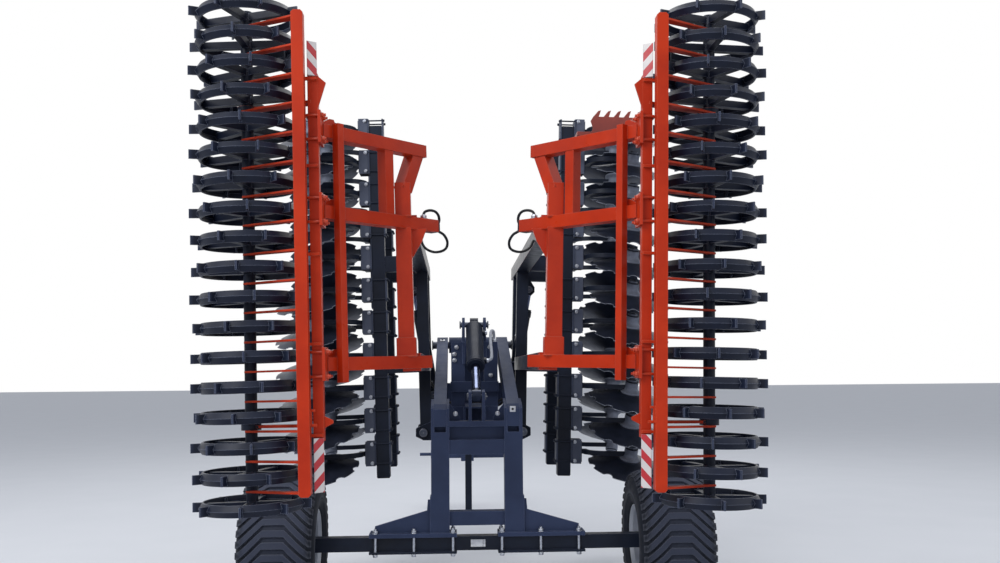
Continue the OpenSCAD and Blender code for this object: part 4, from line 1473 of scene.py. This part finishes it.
@dataclass
class WeldBeads:
    """Weld beads round the joints of the welded frames."""

    radius: float = 4
    steps: int = 9
    swell: float = 0.012
    spine: tuple[float, float] = (394, -1104)

    def bead(self, name: str, frame: Matrix, at: Triple, size: tuple[float, float]) -> Bench:
        """Lays a bead round a square tube that stands on a face.

        Args:
            name: Name of the piece.
            frame: Frame of the welded part.
            at: Middle of the tube on the face, in millimetres.
            size: Width and depth of the tube.

        Returns:
            The bead.
        """
        w, d = size[0] / 2 + 0.5, size[1] / 2 + 0.5
        corners = [(-w, -d), (w, -d), (w, d), (-w, d)]
        line = []
        for (ax, ay), (bx, by) in zip(corners, corners[1:] + corners[:1]):
            for k in range(self.steps):
                t = k / self.steps
                out = 1 + self.swell * math.sin(k * 2.4)
                line.append(((ax + (bx - ax) * t) * out, (ay + (by - ay) * t) * out, 0))
        return Bench.tube(name, line, self.radius, 2, closed=True).place(stand(frame, at))

    def build(self) -> None:
        """Welds the wings' spines and ties and the running gear's uprights."""
        low, mid, _ = ARM_ROWS
        groups = [
            (
                f"spine_welds_{side.tag}", ORANGE, side.body, "orange_paint",
                [
                    (side.wing, (*self.spine, z), (w, w))
                    for z, w in ((low + 35, 108), (low + 135, 88), (mid + 35, 88))
                ],
            ) for side in Side
        ]
        uprights = [(side.machine, (242, 0, 537), (120, 120)) for side in Side]
        columns = [(MACHINE, (k * 120, 690, 1331), (100, 140)) for k in PAIR]
        groups.append(("upright_welds", GRAPHITE, "running_gear", "graphite_paint", uprights))
        groups.append(("column_welds", GRAPHITE, "centre", "graphite_paint", columns))
        for name, finish, body, slot, joints in groups:
            beads = [self.bead(name, *joint) for joint in joints]
            beads[0].join(*beads[1:]).dress(finish, body, slot)


@dataclass
class Drawbar:
    """Hoses along the drawbar to their coupler rack, and the parking leg's pin."""

    rack_y: float = 4780
    top: float = 920
    start: tuple[float, float] = (3096, 1300)
    slots: tuple[float, ...] = (-75, -25, 25, 75)
    pin_at: Triple = (0, 4300, 975)

    def build(self) -> None:
        """Makes the rack and four hoses with their couplers."""
        y, top = self.rack_y, self.top
        rack = Bench.block("coupler_rack", (210, 8, 120), (0, y, top + 120))
        leg = Bench.block("rack_leg", (60, 8, 90), (0, y, top + 44))
        foot = Bench.block("rack_foot", (60, 60, 7), (0, y + 26, top + 3.4))
        rack.join(leg, foot).soften(3).place(MACHINE).dress(BLACK, "centre", "black_paint")
        for k, x in enumerate(self.slots):
            at = (x, y - 58, top + 130)
            coupler = self.coupler(f"hose_coupler_{k}")
            coupler.place(stand(MACHINE, at, (0, 1, 0))).dress(ZINC, "centre")
            start_y, start_z = self.start
            points = [
                (x * 0.8, start_y, start_z - 4), (x * 0.8, start_y + 70, start_z - 30),
                (x * 0.7, 3300, 1025), (x * 0.62, 3480, top + 22), (x * 0.62, 3900, top + 14),
                (x * 0.62 + math.copysign(22, x), 4180, top + 22),
                (x + math.copysign(26, x), 4300, top + 38), (x * 0.9, 4440, top + 22),
                (x * 0.9, 4580, top + 40), (x, 4680, top + 118), at,
            ]
            hose = Hose(f"front_hose_{k}", MACHINE, points, 9)
            hose.dress(HOSE_RUBBER, "centre", "black_paint")
            hose.tie("connector", with_pieces=[coupler.piece])
        self.leg_pin()

    def leg_pin(self) -> None:
        """Makes the pin that holds the parking leg in its sleeve, with its handle."""
        x, y, z = self.pin_at
        bow = ((-62, 0), (62, 0), (84, 6), (92, 30), (84, 56), (62, 60), (56, 40))
        pin = Bench.tube("leg_pin", flowing([(x + dx, y, z + dz) for dx, dz in bow]), 7.5)
        collar = Bench.drum("leg_pin_collar", 15, 5)
        pin.join(collar.place(stand(HERE, (x + 47.5, y, z), (1, 0, 0))))
        pin.place(MACHINE).dress(ZINC, "centre")

    def coupler(self, name: str) -> Bench:
        """Makes one coupler along Z.

        Args:
            name: Name of the piece.

        Returns:
            The coupler.
        """
        body = Bench.drum(name, 15, 84)
        body.inset((3, 2), looks=lambda way: abs(way.z) > FLAT)
        collar = Bench.drum("coupler_collar", 18, 22, 24, 44)
        collar.inset((1.2, -0.8), looks=lambda way: abs(way.z) < 0.2)
        return body.join(collar, Bench.drum("coupler_nut", 16, 16, 6, -4)).smooth(35)


# --- Studio ---


@dataclass
class Studio:
    """Camera, floor and soft light."""

    eye: Triple = (-0.143, -8.443, 1.596)
    yaw: float = 2.64
    pitch: float = 5.08
    roll: float = -0.49
    lens: float = 35.68

    def camera(self) -> None:
        """Sets the camera where the photograph was taken, with the plain view transform."""
        clear()
        bpy.ops.object.camera_add(location=self.eye)
        camera = bpy.context.object
        camera.name = "photo_camera"
        turn = turned(-self.yaw, "Z") @ turned(90 + self.pitch, "X") @ turned(self.roll, "Z")
        camera.matrix_world = Matrix.Translation(self.eye) @ turn
        camera.data.lens = self.lens
        camera.data.sensor_width = 36
        camera.data.clip_end = 400
        bpy.context.scene.camera = camera
        bpy.context.scene.view_settings.view_transform = "Standard"

    def floor(self) -> None:
        """Lays a plain pale floor."""
        clear()
        bpy.ops.mesh.primitive_plane_add(size=160, location=(0, 0, 0))
        floor = bpy.context.object
        floor.name = "studio_floor"
        coat = bpy.data.materials.new("studio_floor_paint")
        add = fresh_tree(coat)
        place = add("TexCoord", out="Object")
        noise = add("TexNoise", {"Vector": place, "Scale": 1.5, "Detail": 6})
        tones = {0: noise, 6: linear("#dcdee3"), 7: linear("#d5d8dd")}
        tone = add("Mix", tones, 2, data_type="RGBA")
        shader = add("BsdfPrincipled", {"Base Color": tone, "Roughness": 0.85})
        add("OutputMaterial", {"Surface": shader})
        floor.data.materials.append(coat)

    def lights(self) -> None:
        """Hangs three large soft lamps and sets the even light round them."""
        for name, spot, aim, size, power in (
            ("key_lamp", (-7, -9.5, 9), (0, -1, 1.6), 7, 920),
            ("fill_lamp", (9, -8, 5), (0, -1, 1.8), 7, 200),
            ("sky_lamp", (1, 3.5, 11), (0, 0, 1.5), 9, 480),
        ):
            clear()
            bpy.ops.object.light_add(type="AREA", location=spot)
            lamp = bpy.context.object
            lamp.name = name
            lamp.data.energy = power
            lamp.data.size = size
            way = Vector(aim) - Vector(spot)
            lamp.rotation_euler = way.to_track_quat("-Z", "Y").to_euler()

    def world(self) -> None:
        """Surrounds all with pale light, and with white where a ray looks at it."""
        world = bpy.data.worlds.new("studio_world")
        bpy.context.scene.world = world
        add = fresh_tree(world)
        rays = add("LightPath").node.outputs
        # White is seen straight, in reflections and through glass; the rest is lit pale.
        seen = {0: rays["Is Camera Ray"], 1: rays["Is Glossy Ray"]}
        either = add("Math", seen, operation="MAXIMUM")
        through = {0: either, 1: rays["Is Transmission Ray"]}
        any_of = add("Math", through, operation="MAXIMUM")
        pale = add("Background", {"Color": linear("#e6ebf5"), "Strength": 0.55})
        white = add("Background", {"Color": linear("#ffffff"), "Strength": 1})
        mixed = add("MixShader", {0: any_of, 1: pale, 2: white})
        add("OutputWorld", {"Surface": mixed})


def main() -> None:
    """Builds the scene piece by piece."""
    logging.basicConfig(level=logging.INFO, format="%(message)s")
    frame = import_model()
    studio = Studio()
    studio.camera()
    studio.floor()
    studio.lights()
    studio.world()
    paint(frame["nodes"])
    for side in Side:
        for fitting in (Wheel(), BowBolts(), DiscArmFittings(), FoldCylinder(), WingHoses()):
            fitting.build(side)
    for fitting in (Axle(), Pins(), LiftCylinder(), ColumnBolts(), WeldBeads(), Drawbar()):
        fitting.build()
    clear()


if __name__ == "__main__":
    main()
